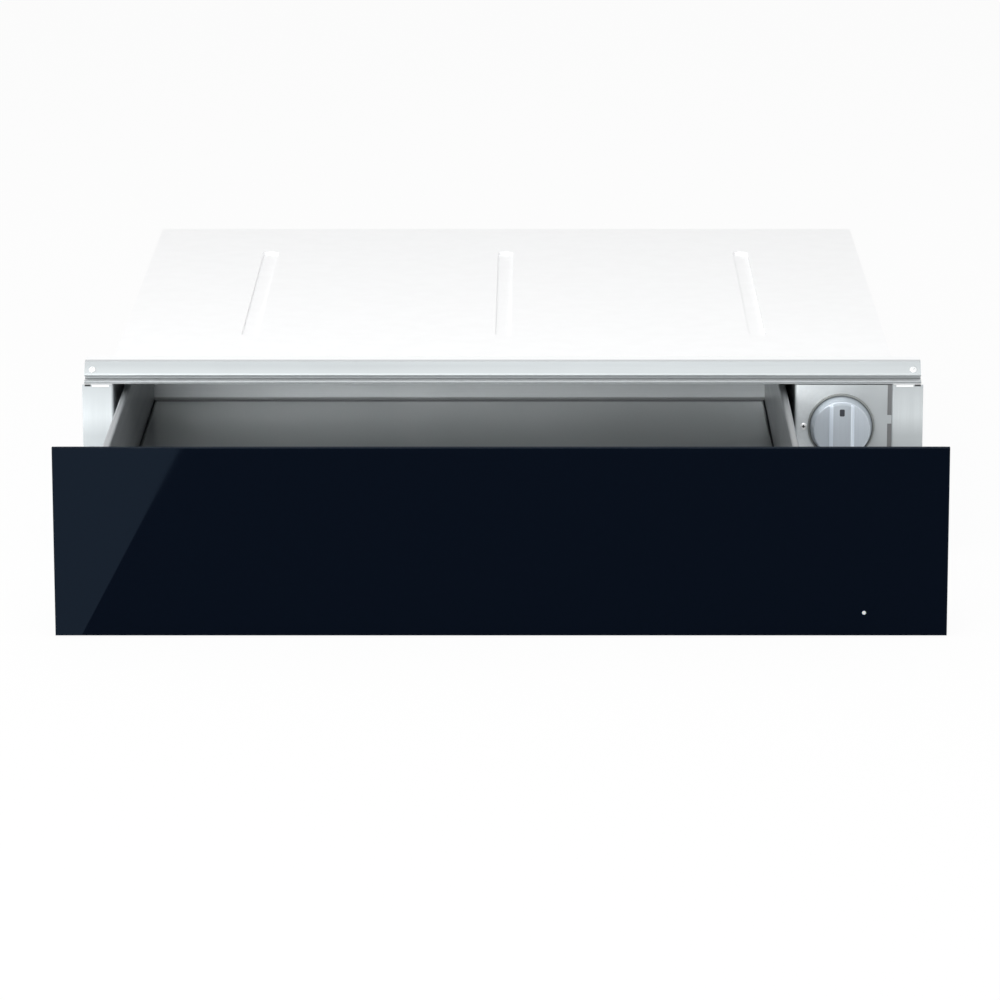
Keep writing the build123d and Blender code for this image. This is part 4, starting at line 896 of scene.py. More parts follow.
# The trim strip's pale finish carries painted light on its folds: painted shade on its left half, on the back of its
# groove and on the lip's face, a lighter lower slope, and painted highlights along its top bend, its lower bend, the
# groove's floor and the lip's foot. Its raised edge amount paints more highlights along the bends. The white flat on
# top is its pale coat.
PALE_TRIM = BrushedSheet(
    "finish_pale_trim_painted_shading", (0.385, 0.41, 0.42), 0.42, grain=Grain.ALONG_X, metallic=0.5, depth=0.003 * MM, edge_wear_and_highlight=0.7,
    zones=(Zone((0.35, 0.373, 0.382), 0.5, 200.0 * MM, x=(None, TRIM_RIGHT)),
           Zone((0.42, 0.446, 0.457), 0.45, 6.0 * MM, z=(None, TRIM_SLOPE)),
           Zone((0.54, 0.565, 0.575), 0.35, y=(TRIM_TOP_BEND[0], None), z=(TRIM_TOP_BEND[1], None)),
           Zone(WHITE, y=(TRIM_FLAT[0], None), z=(TRIM_FLAT[1], None)),
           Zone((0.46, 0.49, 0.5), 0.5, y=(None, TRIM_LOW_BEND[0]), z=TRIM_LOW_BEND[1:]),
           Zone((0.34, 0.36, 0.37), 0.3, y=(GROOVE_BACK[0], None), z=(None, GROOVE_BACK[1])),
           Zone((0.95, 0.97, 0.98), 0.0, y=GROOVE_FLOOR[:2], z=(LIP_FACE[1], GROOVE_FLOOR[2])),
           Zone((0.285, 0.305, 0.315), 0.5, y=(None, LIP_FACE[0]), z=(None, LIP_FACE[1])),
           Zone((0.7, 0.73, 0.74), 0.2, y=(None, LIP_FACE[0]), z=(None, LIP_FOOT))))
# The fascia's steel, with painted shade that darkens it towards the right and painted shade on the floor of its
# slot.
FASCIA_STEEL = BrushedSheet(
    "finish_fascia_steel_painted_shade", (0.845, 0.89, 0.91), 0.34, grain=Grain.EVEN, metallic=0.4, depth=0.004 * MM,
    zones=(Zone((0.53, 0.565, 0.58), 0.4, 42.0 * MM, x=(FASCIA_X, None)),
           Zone((0.2, 0.205, 0.21), 0.2, x=(SLOT_BACK[0], None), y=(SLOT_BACK[1], None))))
BRIGHT_HEAD = Moulded("finish_bright_head", (0.95, 0.965, 0.97), 0.3, metallic=0.3)


# ------------------------------------------------------------------------------------- building pieces
def link(piece: Piece) -> Piece:
    """Put an object into the scene and return it."""
    bpy.context.scene.collection.objects.link(piece)
    return piece


def point_mesh(name: str, places: Iterable[Place], facings: Iterable[Place]) -> bpy.types.Mesh:
    """Make a mesh of loose points, each with the way it faces.

    Args:
        name: The mesh's name.
        places: The points.
        facings: A direction for each point, kept in the attribute facing.

    Returns:
        The mesh.
    """
    mesh = bpy.data.meshes.new(name)
    mesh.from_pydata(list(places), [], [])
    facing = mesh.attributes.new("facing", "FLOAT_VECTOR", "POINT")
    for item, direction in zip(facing.data, facings):
        item.vector = direction
    return mesh


def grown(name: str, tree: NodeTree, seed: bpy.types.Mesh, values: dict[str, Value]) -> Piece:
    """Run a geometry node tree once and return its result as a plain mesh object.

    Args:
        name: The new piece's name.
        tree: The geometry node tree.
        seed: The mesh that the tree starts from.
        values: The tree's inputs, by name.

    Returns:
        The new piece, at the origin, with no modifier.
    """
    carrier = link(bpy.data.objects.new(f"{name}_seed", seed))
    modifier = carrier.modifiers.new("grow", "NODES")
    modifier.node_group = tree
    for item in tree.interface.items_tree:
        if item.item_type == "SOCKET" and item.in_out == "INPUT" and item.name in values:
            modifier[item.identifier] = values[item.name]
    bpy.context.view_layer.update()
    graph = bpy.context.evaluated_depsgraph_get()
    mesh = bpy.data.meshes.new_from_object(carrier.evaluated_get(graph), depsgraph=graph)
    carrier.modifiers.remove(modifier)
    bpy.data.objects.remove(carrier)
    mesh.name = name
    for layer in list(mesh.attributes):
        if layer.name == "facing":
            mesh.attributes.remove(layer)
    return link(bpy.data.objects.new(name, mesh))


@dataclass(frozen=True)
class GrowTree(ABC):
    """A geometry node tree that sets one shape on every seed point.

    Attributes:
        name: The tree's name.
        sizes: The defaults of its named sizes, in metres.
    """

    name: str
    sizes: dict[str, float]

    def tree(self) -> NodeTree:
        """Make the tree, once.

        Returns:
            The tree.
        """
        inputs = {"Geometry": (GEOMETRY, None), "Material": ("NodeSocketMaterial", None)}
        inputs |= {label: (FLOAT, size) for label, size in self.sizes.items()}
        return node_group("GeometryNodeTree", self.name, inputs, {"Geometry": GEOMETRY}, self.write)

    def write(self, tree: Tree, start: Node) -> Sockets:
        """Set the shape on every seed point, turned to its facing, and end the tree as the export needs.

        Args:
            tree: The geometry node tree.
            start: Its inputs.

        Returns:
            The tree's output.
        """
        facing = tree.add("GeometryNodeInputNamedAttribute", {"Name": "facing"}, data_type="FLOAT_VECTOR")
        turned = tree.add("FunctionNodeAlignRotationToVector", {"Vector": facing.outputs[0]}, axis="Z").outputs[0]
        spots = tree.add("GeometryNodeInstanceOnPoints", {
            "Points": start.outputs["Geometry"],
            "Instance": self.shape(tree, start),
            "Rotation": turned,
        }).outputs[0]
        real = tree.add("GeometryNodeRealizeInstances", {"Geometry": spots}).outputs[0]
        dressed = tree.add("GeometryNodeSetMaterial", {"Geometry": real, "Material": start.outputs["Material"]})
        return {"Geometry": dressed.outputs[0]}

    @abstractmethod
    def shape(self, tree: Tree, start: Node) -> Socket:
        """Write the shape, standing along +Z on the point, and return its geometry."""


@dataclass(frozen=True)
class DomedHeads(GrowTree):
    """Rivets and clinch points: a low dome that stands on the sheet."""

    BALL: ClassVar[dict[str, int]] = {"Segments": 32, "Rings": 24}
    CUT: ClassVar[float] = 4.0

    def shape(self, tree: Tree, start: Node) -> Socket:
        """Write a flattened ball, cut off at the sheet by a larger box.

        Args:
            tree: The geometry node tree.
            start: Its inputs.

        Returns:
            The dome.
        """
        radius, height = start.outputs["Radius"], start.outputs["Height"]
        ball = tree.add("GeometryNodeMeshUVSphere", {**self.BALL, "Radius": radius}).outputs["Mesh"]
        dome = tree.moved(ball, Scale=tree.vector(1.0, 1.0, tree.math("DIVIDE", height, radius)))
        wide = tree.times(radius, self.CUT)
        cut = tree.box(tree.vector(wide, wide, tree.times(height, self.CUT)))
        return tree.minus(dome, tree.moved(cut, Translation=tree.vector(z=tree.times(height, -0.5 * self.CUT))))


@dataclass(frozen=True)
class ScrewHeads(DomedHeads):
    """Domed screw heads with a cross recess."""

    RECESS: ClassVar[Place] = (1.15, 0.3, 1.6)

    def shape(self, tree: Tree, start: Node) -> Socket:
        """Write a dome and cut a cross into it, whose arms are shares of its radius and height.

        Args:
            tree: The geometry node tree.
            start: Its inputs.

        Returns:
            The head.
        """
        radius, height = start.outputs["Radius"], start.outputs["Height"]
        head = super().shape(tree, start)
        length, width, depth = self.RECESS
        arm = tree.vector(tree.times(radius, length), tree.times(radius, width), tree.times(height, depth))
        for turn in (0.0, math.pi / 2):
            blade = tree.moved(tree.box(arm), Translation=tree.vector(z=height), Rotation=(0.0, 0.0, turn))
            head = tree.minus(head, blade)
        return head


@dataclass(frozen=True)
class SlotRims(GrowTree):
    """The rims pressed up round slots, with a rounded section."""

    CORNER_POINTS: ClassVar[int] = 8
    SECTION_POINTS: ClassVar[int] = 10
    ALMOST_HALF: ClassVar[float] = 0.499

    def shape(self, tree: Tree, start: Node) -> Socket:
        """Write a rounded bead round a slot that lies along X.

        Args:
            tree: The geometry node tree.
            start: Its inputs.

        Returns:
            The rim.
        """
        length, width, radius = (start.outputs[label] for label in ("Length", "Width", "Rim"))
        outline = tree.add("GeometryNodeCurvePrimitiveQuadrilateral", {"Width": length, "Height": width})
        rounding = {"Count": self.CORNER_POINTS, "Radius": tree.times(width, self.ALMOST_HALF)}
        path = tree.add("GeometryNodeFilletCurve", {"Curve": outline.outputs[0], **rounding}, mode="POLY").outputs[0]
        circle = {"Resolution": self.SECTION_POINTS, "Radius": radius}
        section = tree.add("GeometryNodeCurvePrimitiveCircle", circle).outputs["Curve"]
        rim = tree.add("GeometryNodeCurveToMesh", {"Curve": path, "Profile Curve": section}).outputs[0]
        return tree.add("GeometryNodeSetShadeSmooth", {"Geometry": rim, "Shade Smooth": True}).outputs[0]


DOMES = DomedHeads("grow_domes", {"Radius": 3.0 * MM, "Height": 1.2 * MM})
SCREWS = ScrewHeads("grow_screws", {"Radius": 2.6 * MM, "Height": 1.6 * MM})
RIMS = SlotRims("grow_rims", {"Length": 60.0 * MM, "Width": 4.0 * MM, "Rim": 0.6 * MM})


def eased(share: float) -> float:
    """Return a share, kept from 0 to 1 and eased at both ends."""
    share = min(1.0, max(0.0, share))
    return share * share * (3.0 - 2.0 * share)


def shade(piece: Piece, angle: float = math.radians(35.0)) -> None:
    """Smooth a piece's shading, but keep the edges sharper than an angle."""
    piece.data.shade_smooth()
    piece.data.set_sharp_from_angle(angle=angle)


# ------------------------------------------------------------------------------------- sub-assemblies
@dataclass
class SubAssembly:
    """Nodes and pieces that belong together.

    Attributes:
        frame: The loaded frame.
    """

    MEMBERS: ClassVar[tuple[str, ...]] = ()
    OWN_FINISHES: ClassVar[dict[str, Finish]] = {}

    frame: dict

    def dress(self) -> None:
        """Give every construction node its own finish, or else the finish of its material slot."""
        slots = {part["node"]: part["material_slot"] for part in self.frame["record"]["subparts"]}
        for name in self.MEMBERS:
            finish = self.OWN_FINISHES.get(name, FINISHES[slots[name]])
            mesh = self.frame["nodes"][name].data
            mesh.materials.clear()
            mesh.materials.append(finish.material())
        LOG.info("%s: dressed %d nodes", type(self).__name__, len(self.MEMBERS))

    def build(self) -> list[Piece]:
        """Make the sub-assembly's own pieces and return them."""
        return []

    def settle(self, name: str, shape: bmesh.types.BMesh, slot: str, body: str, *hidden: str) -> Piece:
        """Make a piece of a finished shape, and say what it rides on and stands for.

        Args:
            name: The piece's name.
            shape: Its shape, which is used up.
            slot: The record's material slot it takes its finish from.
            body: The body it rides on.
            hidden: The nodes it stands for.

        Returns:
            The piece.
        """
        mesh = bpy.data.meshes.new(name)
        shape.to_mesh(mesh)
        shape.free()
        mesh.materials.append(FINISHES[slot].material())
        return self.declare(link(bpy.data.objects.new(name, mesh)), slot, body, *hidden)

    def declare(self, piece: Piece, slot: str, body: str, *hidden: str) -> Piece:
        """Smooth a piece, and say what it rides on and stands for.

        Args:
            piece: The piece.
            slot: The record's material slot; it is not used.
            body: The body it rides on.
            hidden: The nodes it stands for.

        Returns:
            The piece.
        """
        shade(piece)
        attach(piece, body)
        if hidden:
            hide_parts(*hidden)
        return piece

    def grow(self, name: str, kind: GrowTree, spots: list[Spot], slot: str, body: str, *hidden: str,
             finish: Finish | None = None, **sizes: float) -> Piece:
        """Grow one piece from a tree, and say what it rides on and stands for.

        Args:
            name: The piece's name.
            kind: What is set on each point.
            spots: Each point with the way it faces.
            slot: The record's material slot it takes its finish from.
            body: The body it rides on.
            hidden: The nodes it stands for.
            finish: Its finish, where it isn't the slot's own.
            sizes: The tree's sizes that differ from its defaults, by name.

        Returns:
            The piece.
        """
        seed = point_mesh(f"{name}_points", *zip(*spots))
        values = {**kind.sizes, **sizes, "Material": (finish or FINISHES[slot]).material()}
        return self.declare(grown(name, kind.tree(), seed, values), slot, body, *hidden)


@dataclass
class Housing(SubAssembly):
    """The sheet housing with its screws, its clinch points and the rims of its vents.

    Attributes:
        head: How far a sheet screw's head stands out.
        foot: How high the screws along the foot of each side stand.
        screw_pitch: The spacing of these screws.
        corner: How far the rear screws stand from the top and the bottom.
        clinch: A clinch point's radius.
        clinch_height: How far a clinch point stands out.
        clinch_pitch: The spacing of the clinch points along an edge.
        clinch_inset: How far they stand from the edge.
        vent: A rear vent's length and height.
        vent_pitch: The spacing of the rear vents.
        vent_count: How many rear vents there are.
    """

    MEMBERS: ClassVar[tuple[str, ...]] = (
        "base_pan", "side_panel_left", "side_panel_right", "top_cover", "rear_panel", "chamber_side_wall",
        "chamber_rear_wall", "housing_screws", "terminal_block", "cable_gland")
    OWN_FINISHES: ClassVar[dict[str, Finish]] = {"side_panel_left": PALE_FLANGE, "side_panel_right": PALE_FLANGE}

    head: float = 1.6 * MM
    foot: float = 3.2 * MM
    screw_pitch: float = 200.0 * MM
    corner: float = 12.0 * MM
    clinch: float = 3.5 * MM
    clinch_height: float = 0.5 * MM
    clinch_pitch: float = 68.0 * MM
    clinch_inset: float = 7.0 * MM
    vent: tuple[float, float] = (60.6 * MM, 4.6 * MM)
    vent_pitch: float = 9.0 * MM
    vent_count: int = 7

    def build(self) -> list[Piece]:
        """Make the screws, the clinch points and the vents' rims."""
        return [self.sheet_screws(), self.clinch_points(), self.vent_rims()]

    def sheet_screws(self) -> Piece:
        """Make the screws along the foot of the sides and in the corners at the back.

        Returns:
            The screws.
        """
        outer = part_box("housing_screws")[1].x
        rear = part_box("rear_panel")[1]
        middle = rear.y / 2
        spots: list[Spot] = []
        for hand in (-1, 1):
            side = hand * (outer - self.head)
            for step in (-1, 0, 1):
                spots.append(((side, middle + step * self.screw_pitch, self.foot), (hand, 0, 0)))
            for z in (self.corner, rear.z - self.corner):
                spots.append(((side - hand * (MM + self.corner / 2), rear.y, z), (0, 1, 0)))
        return self.grow("sheet_screws", SCREWS, spots, "polished_steel", "housing", "housing_screws",
                         Height=self.head)

    def clinch_points(self) -> Piece:
        """Make the clinch points under the top edge of the sides and of the rear panel.

        Returns:
            The clinch points.
        """
        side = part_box("top_cover")[1]
        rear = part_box("rear_panel")[1]
        spots: list[Spot] = []
        for step in range(-3, 4):
            along = step * self.clinch_pitch
            for hand in (-1, 1):
                spots.append(((hand * side.x, rear.y / 2 + along, rear.z - self.clinch_inset), (hand, 0, 0)))
            spots.append(((along, rear.y, rear.z - self.clinch_inset), (0, 1, 0)))
        return self.grow("clinch_points", DOMES, spots, "galvanised_sheet", "housing", Radius=self.clinch,
                         Height=self.clinch_height)

    def vent_rims(self) -> Piece:
        """Make the rims round the rear vents.

        Returns:
            The rims.
        """
        low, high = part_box("fan_impeller")
        x, z = (low.x + high.x) / 2, (low.z + high.z) / 2
        rear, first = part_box("rear_panel")[1].y, -(self.vent_count - 1) / 2
        spots = [((x, rear, z + (first + row) * self.vent_pitch), (0, 1, 0)) for row in range(self.vent_count)]
        length, width = self.vent
        return self.grow("vent_rims", RIMS, spots, "galvanised_sheet", "housing", Length=length, Width=width)


@dataclass
class FrontFrame(SubAssembly):
    """What the housing shows in front: the folded trim strip, the small screws and the rubber lugs.

    Attributes:
        lean: The strip's slope from upright, in radians.
        trim_screw: A trim screw's place on the right.
        fascia_screw: The fascia screw's place.
        plug: The radius of the dark plug in it.
        plug_rise: How far the plug stands proud of the head.
        radius: A front screw's head radius.
        height: How far its head stands out.
        lug: A rubber lug's size.
        lug_place: The middle of the lug on the right.
        lug_round: How far its edges are rounded.
        lug_steps: In how many steps.
    """

    MEMBERS: ClassVar[tuple[str, ...]] = ("trim_strip", "front_screws")
    OWN_FINISHES: ClassVar[dict[str, Finish]] = {"trim_strip": PALE_TRIM}

    lean: float = math.atan2(10.0, 9.3)
    trim_screw: Place = (0.289, -0.001 + 4.2 * MM * math.tan(lean), 0.1338)
    fascia_screw: Place = (0.212, -0.001, 0.0940)
    plug: float = 1.15 * MM
    plug_rise: float = 0.15 * MM
    radius: float = 2.5 * MM
    height: float = 1.2 * MM
    lug: Place = (4.4 * MM, 1.1 * MM, 1.3 * MM)
    lug_place: Place = (0.2921, -0.5 * MM, 0.1234)
    lug_round: float = 0.2 * MM
    lug_steps: int = 3

    def build(self) -> list[Piece]:
        """Make the two trim screws, the fascia screw with its plug, and the lugs.

        Returns:
            The pieces.
        """
        out = (0.0, -math.cos(self.lean), math.sin(self.lean))
        x, y, z = self.trim_screw
        spots: list[Spot] = [((hand * x, y, z), out) for hand in (-1, 1)]
        spots.append((self.fascia_screw, (0.0, -1.0, 0.0)))
        heads = self.grow("front_screw_heads", SCREWS, spots, "polished_steel", "housing", "front_screws",
                          finish=BRIGHT_HEAD, Radius=self.radius, Height=self.height)
        plug = self.grow("fascia_screw_plug", DOMES, spots[-1:], "dark_seal", "housing", Radius=self.plug,
                         Height=self.height + self.plug_rise)
        return [heads, plug, self.lugs()]

    def lugs(self) -> Piece:
        """Make the two rubber lugs that sit in the notches on top of the flanges.

        Returns:
            The lugs.
        """
        shape = bmesh.new()
        for hand in (-1, 1):
            made = bmesh.ops.create_cube(shape, size=1.0)["verts"]
            bmesh.ops.scale(shape, vec=self.lug, verts=made)
            bmesh.ops.translate(shape, vec=(hand * self.lug_place[0], *self.lug_place[1:]), verts=made)
        bmesh.ops.bevel(shape, geom=shape.edges[:], offset=self.lug_round, segments=self.lug_steps,
                        affect="EDGES", profile=0.5)
        return self.settle("flange_lugs", shape, "dark_seal", "housing")


@dataclass
class ControlPanel(SubAssembly):
    """The fascia with its knob, and the switches and sensors behind it.

    Attributes:
        segments: How many sides the knob's circles have.
        rings: How many rings its face has.
        foot: The skirt's radius at the fascia.
        foot_chamfer: The chamfer there.
        rim: The skirt's radius at the face.
        rounding: The rim's rounding.
        rounding_steps: How many steps it has.
        wall: The wall's thickness.
        shaft: The radius of the shaft's bore.
        grip_flat: Half the width of the grip's flat top.
        grip_flank: How wide each of its sloped flanks is.
        grip_end: How far from the middle its ends start to fall.
        end_slope: How long they fall.
        grip_rise: How far it stands over the face.
        pointer_air: How far the pointer mark stands proud of the grip.
    """

    MEMBERS: ClassVar[tuple[str, ...]] = (
        "control_fascia", "knob_collar", "knob", "knob_pointer", "knob_shaft", "thermostat", "pilot_lamp",
        "heat_limiter", "sensor_bulb", "sensor_clips", "drawer_switch", "switch_button", "latch_case",
        "latch_plunger")
    OWN_FINISHES: ClassVar[dict[str, Finish]] = {"control_fascia": FASCIA_STEEL}

    segments: int = 192
    rings: int = 56
    foot: float = 22.0 * MM
    foot_chamfer: float = 0.3 * MM
    rim: float = 19.9 * MM
    rounding: float = 0.7 * MM
    rounding_steps: int = 6
    wall: float = 1.8 * MM
    shaft: float = 3.0 * MM
    grip_flat: float = 6.2 * MM
    grip_flank: float = 3.0 * MM
    grip_end: float = 18.2 * MM
    end_slope: float = 0.9 * MM
    grip_rise: float = 3.6 * MM
    pointer_air: float = 0.05 * MM

    def build(self) -> list[Piece]:
        """Make the knob's body."""
        return [self.knob_body()]

    def rise(self, x: float, z: float) -> float:
        """Return how far the grip stands over the face, from 0 to 1, at a place from the knob's middle."""
        across = eased((self.grip_flat + self.grip_flank - abs(x)) / self.grip_flank)
        return across * eased((self.grip_end + self.end_slope - math.hypot(x, z)) / self.end_slope)

    def knob_body(self) -> Piece:
        """Make the knob: a drafted skirt, a rounded rim and a grip with sloped flanks across its face.

        Returns:
            The knob.
        """
        low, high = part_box("knob")
        middle_x, middle_z = (low.x + high.x) / 2, (low.z + high.z) / 2
        top = low.y + self.pointer_air
        face = top + self.grip_rise
        hollow, hub = face + self.wall, self.shaft + self.wall
        profile = [(0.0, hollow), (self.shaft, hollow), (self.shaft, high.y), (hub, high.y), (hub, hollow),
                   (self.rim - self.wall, hollow), (self.rim - self.wall, high.y),
                   (self.foot - self.foot_chamfer, high.y), (self.foot, high.y - self.foot_chamfer)]
        inner = self.rim - self.rounding
        for step in range(self.rounding_steps + 1):
            turn = step / self.rounding_steps * math.pi / 2
            profile.append((inner + self.rounding * math.cos(turn), face + self.rounding * (1 - math.sin(turn))))
        profile += [(inner * (1 - ring / self.rings), face) for ring in range(1, self.rings + 1)]
        shape = bmesh.new()
        loops = []
        for radius, y in profile:
            if radius <= 0.0:
                depth = y - self.grip_rise if y == face else y
                loops.append([shape.verts.new((middle_x, depth, middle_z))])
                continue
            loop = []
            for segment in range(self.segments):
                turn = math.tau * segment / self.segments
                x, z = radius * math.cos(turn), radius * math.sin(turn)
                lift = self.grip_rise * self.rise(x, z) if y <= face + TOUCHING else 0.0
                loop.append(shape.verts.new((middle_x + x, y - lift, middle_z + z)))
            loops.append(loop)
        for first, second in zip(loops, loops[1:]):
            for segment in range(self.segments):
                corners = [first[segment % len(first)], first[(segment + 1) % len(first)],
                           second[(segment + 1) % len(second)], second[segment % len(second)]]
                shape.faces.new(list(dict.fromkeys(corners)))
        bmesh.ops.recalc_face_normals(shape, faces=shape.faces[:])
        return self.settle("knob_body", shape, "silver_knob", "knob", "knob")


@dataclass
class DrawerFront(SubAssembly):
    """The black glass and what carries it."""

    MEMBERS: ClassVar[tuple[str, ...]] = (
        "front_glass", "glass_bezel", "front_carrier", "bin_front", "light_pipe", "front_bumpers",
        "latch_striker")


@dataclass
class DrawerBin(SubAssembly):
    """The bin on its deck."""

    MEMBERS: ClassVar[tuple[str, ...]] = (
        "bin_deck", "bin_side_left", "bin_side_right", "bin_rear", "floor_seal", "floor_plate",
        "floor_insulation")
    OWN_FINISHES: ClassVar[dict[str, Finish]] = {
        "bin_deck": ALONG_Y_STEEL, "bin_side_left": ALONG_Y_STEEL, "bin_side_right": ALONG_Y_STEEL,
        "bin_rear": BIN_BACK_STEEL}


@dataclass
class Slides(SubAssembly):
    """The two telescopic slides and the rivets that hold them.

    Attributes:
        rivet_height: How far a rivet's head stands out.
        rivet_pitch: The spacing of the rivets along a slide.
    """

    MEMBERS: ClassVar[tuple[str, ...]] = (
        "slide_outer_left", "slide_middle_left", "slide_inner_left", "ball_cage_outer_left",
        "ball_cage_inner_left", "slide_outer_right", "slide_middle_right", "slide_inner_right",
        "ball_cage_outer_right", "ball_cage_inner_right", "slide_rivets", "deck_rivets")

    rivet_height: float = 1.2 * MM
    rivet_pitch: float = 190.0 * MM

    def build(self) -> list[Piece]:
        """Make the rivets in the chamber's walls and in the deck's skirts."""
        return [self.rivets("slide_rivet_heads", "slide_rivets", "housing", -1),
                self.rivets("deck_rivet_heads", "deck_rivets", "drawer", 1)]

    def rivets(self, name: str, node: str, body: str, inward: int) -> Piece:
        """Make one pair of rivet rows.

        Args:
            name: The piece's name.
            node: The node it stands for.
            body: The body it rides on.
            inward: 1 where the heads point to the middle of the drawer, or -1.

        Returns:
            The rivets.
        """
        low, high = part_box(node)
        middle_y, z = (low.y + high.y) / 2, (low.z + high.z) / 2
        sunk = self.rivet_height if inward < 0 else 0.0
        spots: list[Spot] = []
        for step in (-1, 0, 1):
            y = middle_y + step * self.rivet_pitch
            spots.append(((low.x + sunk, y, z), (inward, 0, 0)))
            spots.append(((high.x - sunk, y, z), (-inward, 0, 0)))
        return self.grow(name, DOMES, spots, "polished_steel", body, node, Height=self.rivet_height)


@dataclass
class Heating(SubAssembly):
    """The heater under the bin and the fan that moves its air."""

    MEMBERS: ClassVar[tuple[str, ...]] = (
        "heater_element", "heat_shield", "heater_brackets", "fan_scroll", "fan_duct", "fan_motor",
        "fan_impeller", "fan_shaft")


# ------------------------------------------------------------------------------------- studio
@dataclass(frozen=True)
class Lamp:
    """A flat soft lamp that looks at the object.

    Attributes:
        name: Its name.
        place: Where it hangs.
        size: Its width and height.
        power: Its power, in watts.
        aim: The middle of the object, at which it looks.
    """

    name: str
    place: Place
    size: tuple[float, float]
    power: float
    aim: Place = (0.0, 0.0, 0.09)

    def hang(self) -> None:
        """Put the lamp into the scene."""
        data = bpy.data.lights.new(self.name, "AREA")
        data.shape = "RECTANGLE"
        data.size, data.size_y = self.size
        data.energy = self.power
        lamp = link(bpy.data.objects.new(self.name, data))
        lamp.location = self.place
        lamp.rotation_euler = (Vector(self.aim) - Vector(self.place)).to_track_quat("-Z", "Y").to_euler()
        lamp.visible_camera = False


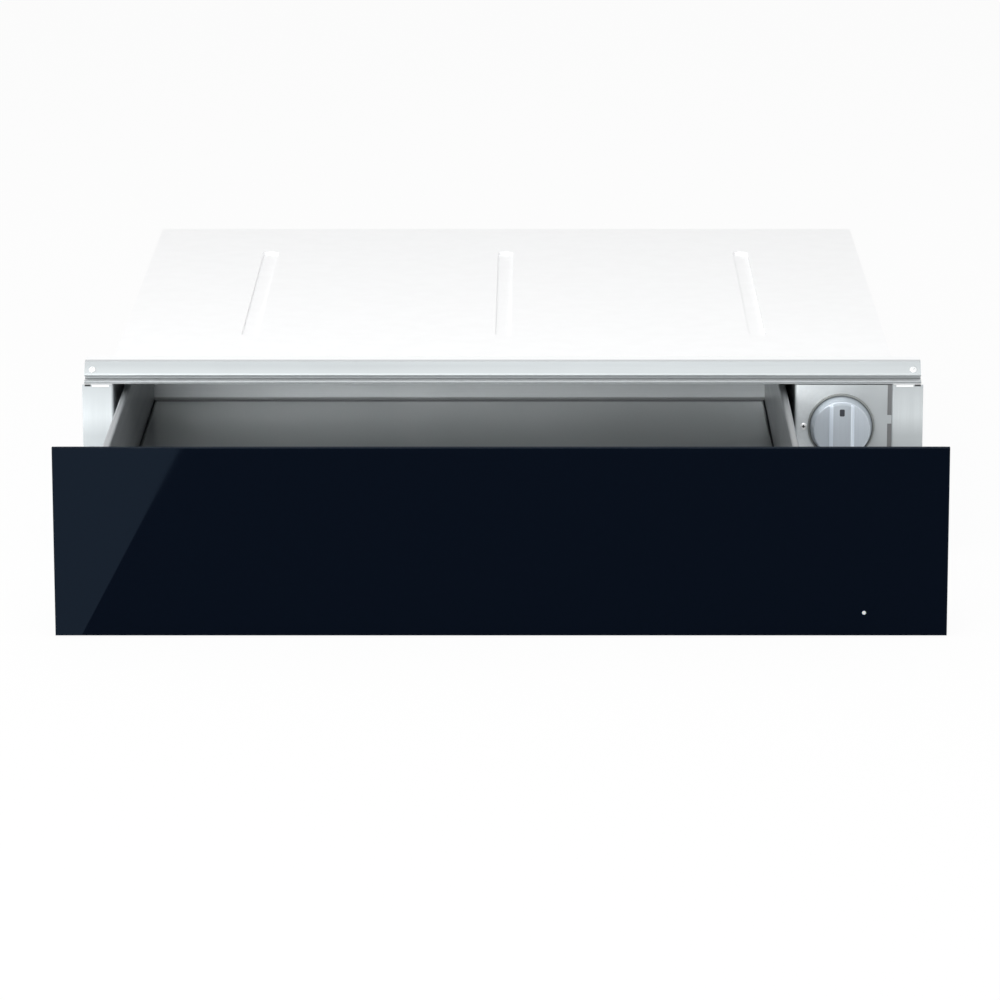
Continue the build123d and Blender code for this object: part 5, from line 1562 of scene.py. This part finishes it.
@dataclass
class Studio:
    """The floor, the light and the camera.

    Attributes:
        eye: Where the camera stands.
        pitch: How far it looks down, in radians.
        shift: How far its picture is shifted sideways, as a share of its width.
        sensor: The width of its sensor, in millimetres.
        lens: Its focal length, in millimetres.
        clip: How near and how far it sees.
        floor_size: The floor's width.
        floor_drop: How far the floor lies under the object's foot.
        sky: How strongly the sky lights matt surfaces.
        floor_grey: The brightness of the floor's matt part.
        glow: The floor's share of plain white, where it is seen or mirrored.
        card: The cards' half width, and how near and how far they reach.
        split: Where the dark card ends and the pale one starts, as three points on the floor.
        card_colours: The dark card's colour and the pale one's.
        lamps: The lamps.
    """

    eye: Place = (0.0206, -3.5895, 0.8926)
    pitch: float = 0.2331
    shift: float = -0.032
    sensor: float = 36.0
    lens: float = 187.7
    clip: tuple[float, float] = (0.05, 60.0)
    floor_size: float = 30.0
    floor_drop: float = 0.0006
    sky: float = 0.5
    floor_grey: float = 0.9
    glow: float = 0.93
    card: Place = (0.45, -0.2, -0.95)
    split: tuple[tuple[float, float], ...] = ((-0.2818, -0.2), (-0.2511, -0.8), (-0.2499, -0.95))
    card_colours: tuple[Colour, Colour] = ((0.087, 0.087, 0.085), (0.7, 0.7, 0.7))
    lamps: tuple[Lamp, ...] = (
        Lamp("lamp_over", (-0.3, -1.0, 2.2), (2.2, 2.2), 36.0),
        Lamp("lamp_front", (-1.0, -3.9, 0.72), (1.9, 0.9), 70.0),
    )

    def build(self) -> None:
        """Set the floor, the cards, the lamps, the world and the camera."""
        self.world()
        self.floor()
        self.cards()
        for lamp in self.lamps:
            lamp.hang()
        self.camera()
        bpy.context.scene.view_settings.view_transform = "Standard"

    def seen(self, tree: Tree) -> Socket:
        """Tell what is seen directly, mirrored or through glass from matt light.

        Args:
            tree: The tree it is written into.

        Returns:
            1 for what is seen, and 0 for matt light.
        """
        path = tree.add("ShaderNodeLightPath").outputs
        mirrored = tree.math("MAXIMUM", path["Is Glossy Ray"], path["Is Transmission Ray"])
        return tree.math("MAXIMUM", path["Is Camera Ray"], mirrored)

    def world(self) -> None:
        """Set an even pale sky."""
        world = bpy.data.worlds.new("studio_sky")
        world.use_nodes = True
        world.node_tree.nodes.clear()
        tree = Tree(world.node_tree)
        strength = tree.spread(self.seen(tree), 0.0, 1.0, self.sky, 1.0)
        sky = tree.add("ShaderNodeBackground", {"Color": (1.0, 1.0, 1.0, 1.0), "Strength": strength}).outputs[0]
        tree.feed(tree.add("ShaderNodeOutputWorld").inputs["Surface"], sky)
        bpy.context.scene.world = world

    def plane(self, name: str, corners: list[Place], surface: Callable[[Tree], Socket]) -> Piece:
        """Make a flat stage piece.

        Args:
            name: Its name.
            corners: Its corners in order.
            surface: Writes its material and returns the shader's output.

        Returns:
            The stage piece.
        """
        mesh = bpy.data.meshes.new(name)
        mesh.from_pydata(corners, [], [tuple(range(len(corners)))])
        mesh.materials.append(new_material(name, surface))
        piece = link(bpy.data.objects.new(name, mesh))
        return piece

    def glowing(self, tree: Tree, colour: Colour) -> Socket:
        """Write a plain glow of a colour and return it."""
        return tree.add("ShaderNodeEmission", {"Color": opaque(colour), "Strength": 1.0}).outputs[0]

    def floor_surface(self, tree: Tree) -> Socket:
        """Write a matt floor that is plain white where it is seen.

        Args:
            tree: The material's tree.

        Returns:
            The shader's output.
        """
        matt = tree.add("ShaderNodeBsdfDiffuse", {"Color": (*[self.floor_grey] * 3, 1.0)}).outputs[0]
        white = self.glowing(tree, (1.0, 1.0, 1.0))
        share = tree.times(self.seen(tree), self.glow)
        return tree.add("ShaderNodeMixShader", {0: share, 1: matt, 2: white}).outputs[0]

    def floor(self) -> None:
        """Lay a white floor that keeps a faint shadow."""
        half, z = self.floor_size / 2, -self.floor_drop
        corners = [(-half, -half, z), (half, -half, z), (half, half, z), (-half, half, z)]
        self.plane("stage_floor", corners, self.floor_surface)

    def cards(self) -> None:
        """Lay the cards that the front glass mirrors: a dark one in front, and a pale one to its left."""
        z = -0.5 * self.floor_drop
        side, near, far = self.card
        line = [(x, y, z) for x, y in self.split]
        dark = [(side, near, z), *line, (side, far, z)]
        pale = [(-side, near, z), (-side, far, z), *reversed(line)]
        for name, corners, colour in zip(("stage_dark_card", "stage_grey_card"), (dark, pale), self.card_colours):
            card = self.plane(name, corners, partial(self.glowing, colour=colour))
            for kind in ("camera", "diffuse", "shadow", "transmission"):
                setattr(card, f"visible_{kind}", False)

    def camera(self) -> None:
        """Set the camera where the photograph was taken from."""
        data = bpy.data.cameras.new("camera")
        data.sensor_width = self.sensor
        data.lens = self.lens
        data.shift_x = self.shift
        data.clip_start, data.clip_end = self.clip
        camera = link(bpy.data.objects.new("camera", data))
        camera.location = self.eye
        camera.rotation_euler = (math.pi / 2 - self.pitch, 0.0, 0.0)
        bpy.context.scene.camera = camera


def main() -> None:
    """Dress the construction, add the finer pieces and set the studio."""
    logging.basicConfig(level=logging.INFO, format="%(name)s: %(message)s")
    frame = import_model()
    for kind in (Housing, FrontFrame, ControlPanel, DrawerFront, DrawerBin, Slides, Heating):
        sub_assembly = kind(frame)
        sub_assembly.dress()
        for piece in sub_assembly.build():
            LOG.info("%s: %d faces", piece.name, len(piece.data.polygons))
    Studio().build()


if __name__ == "__main__":
    main()
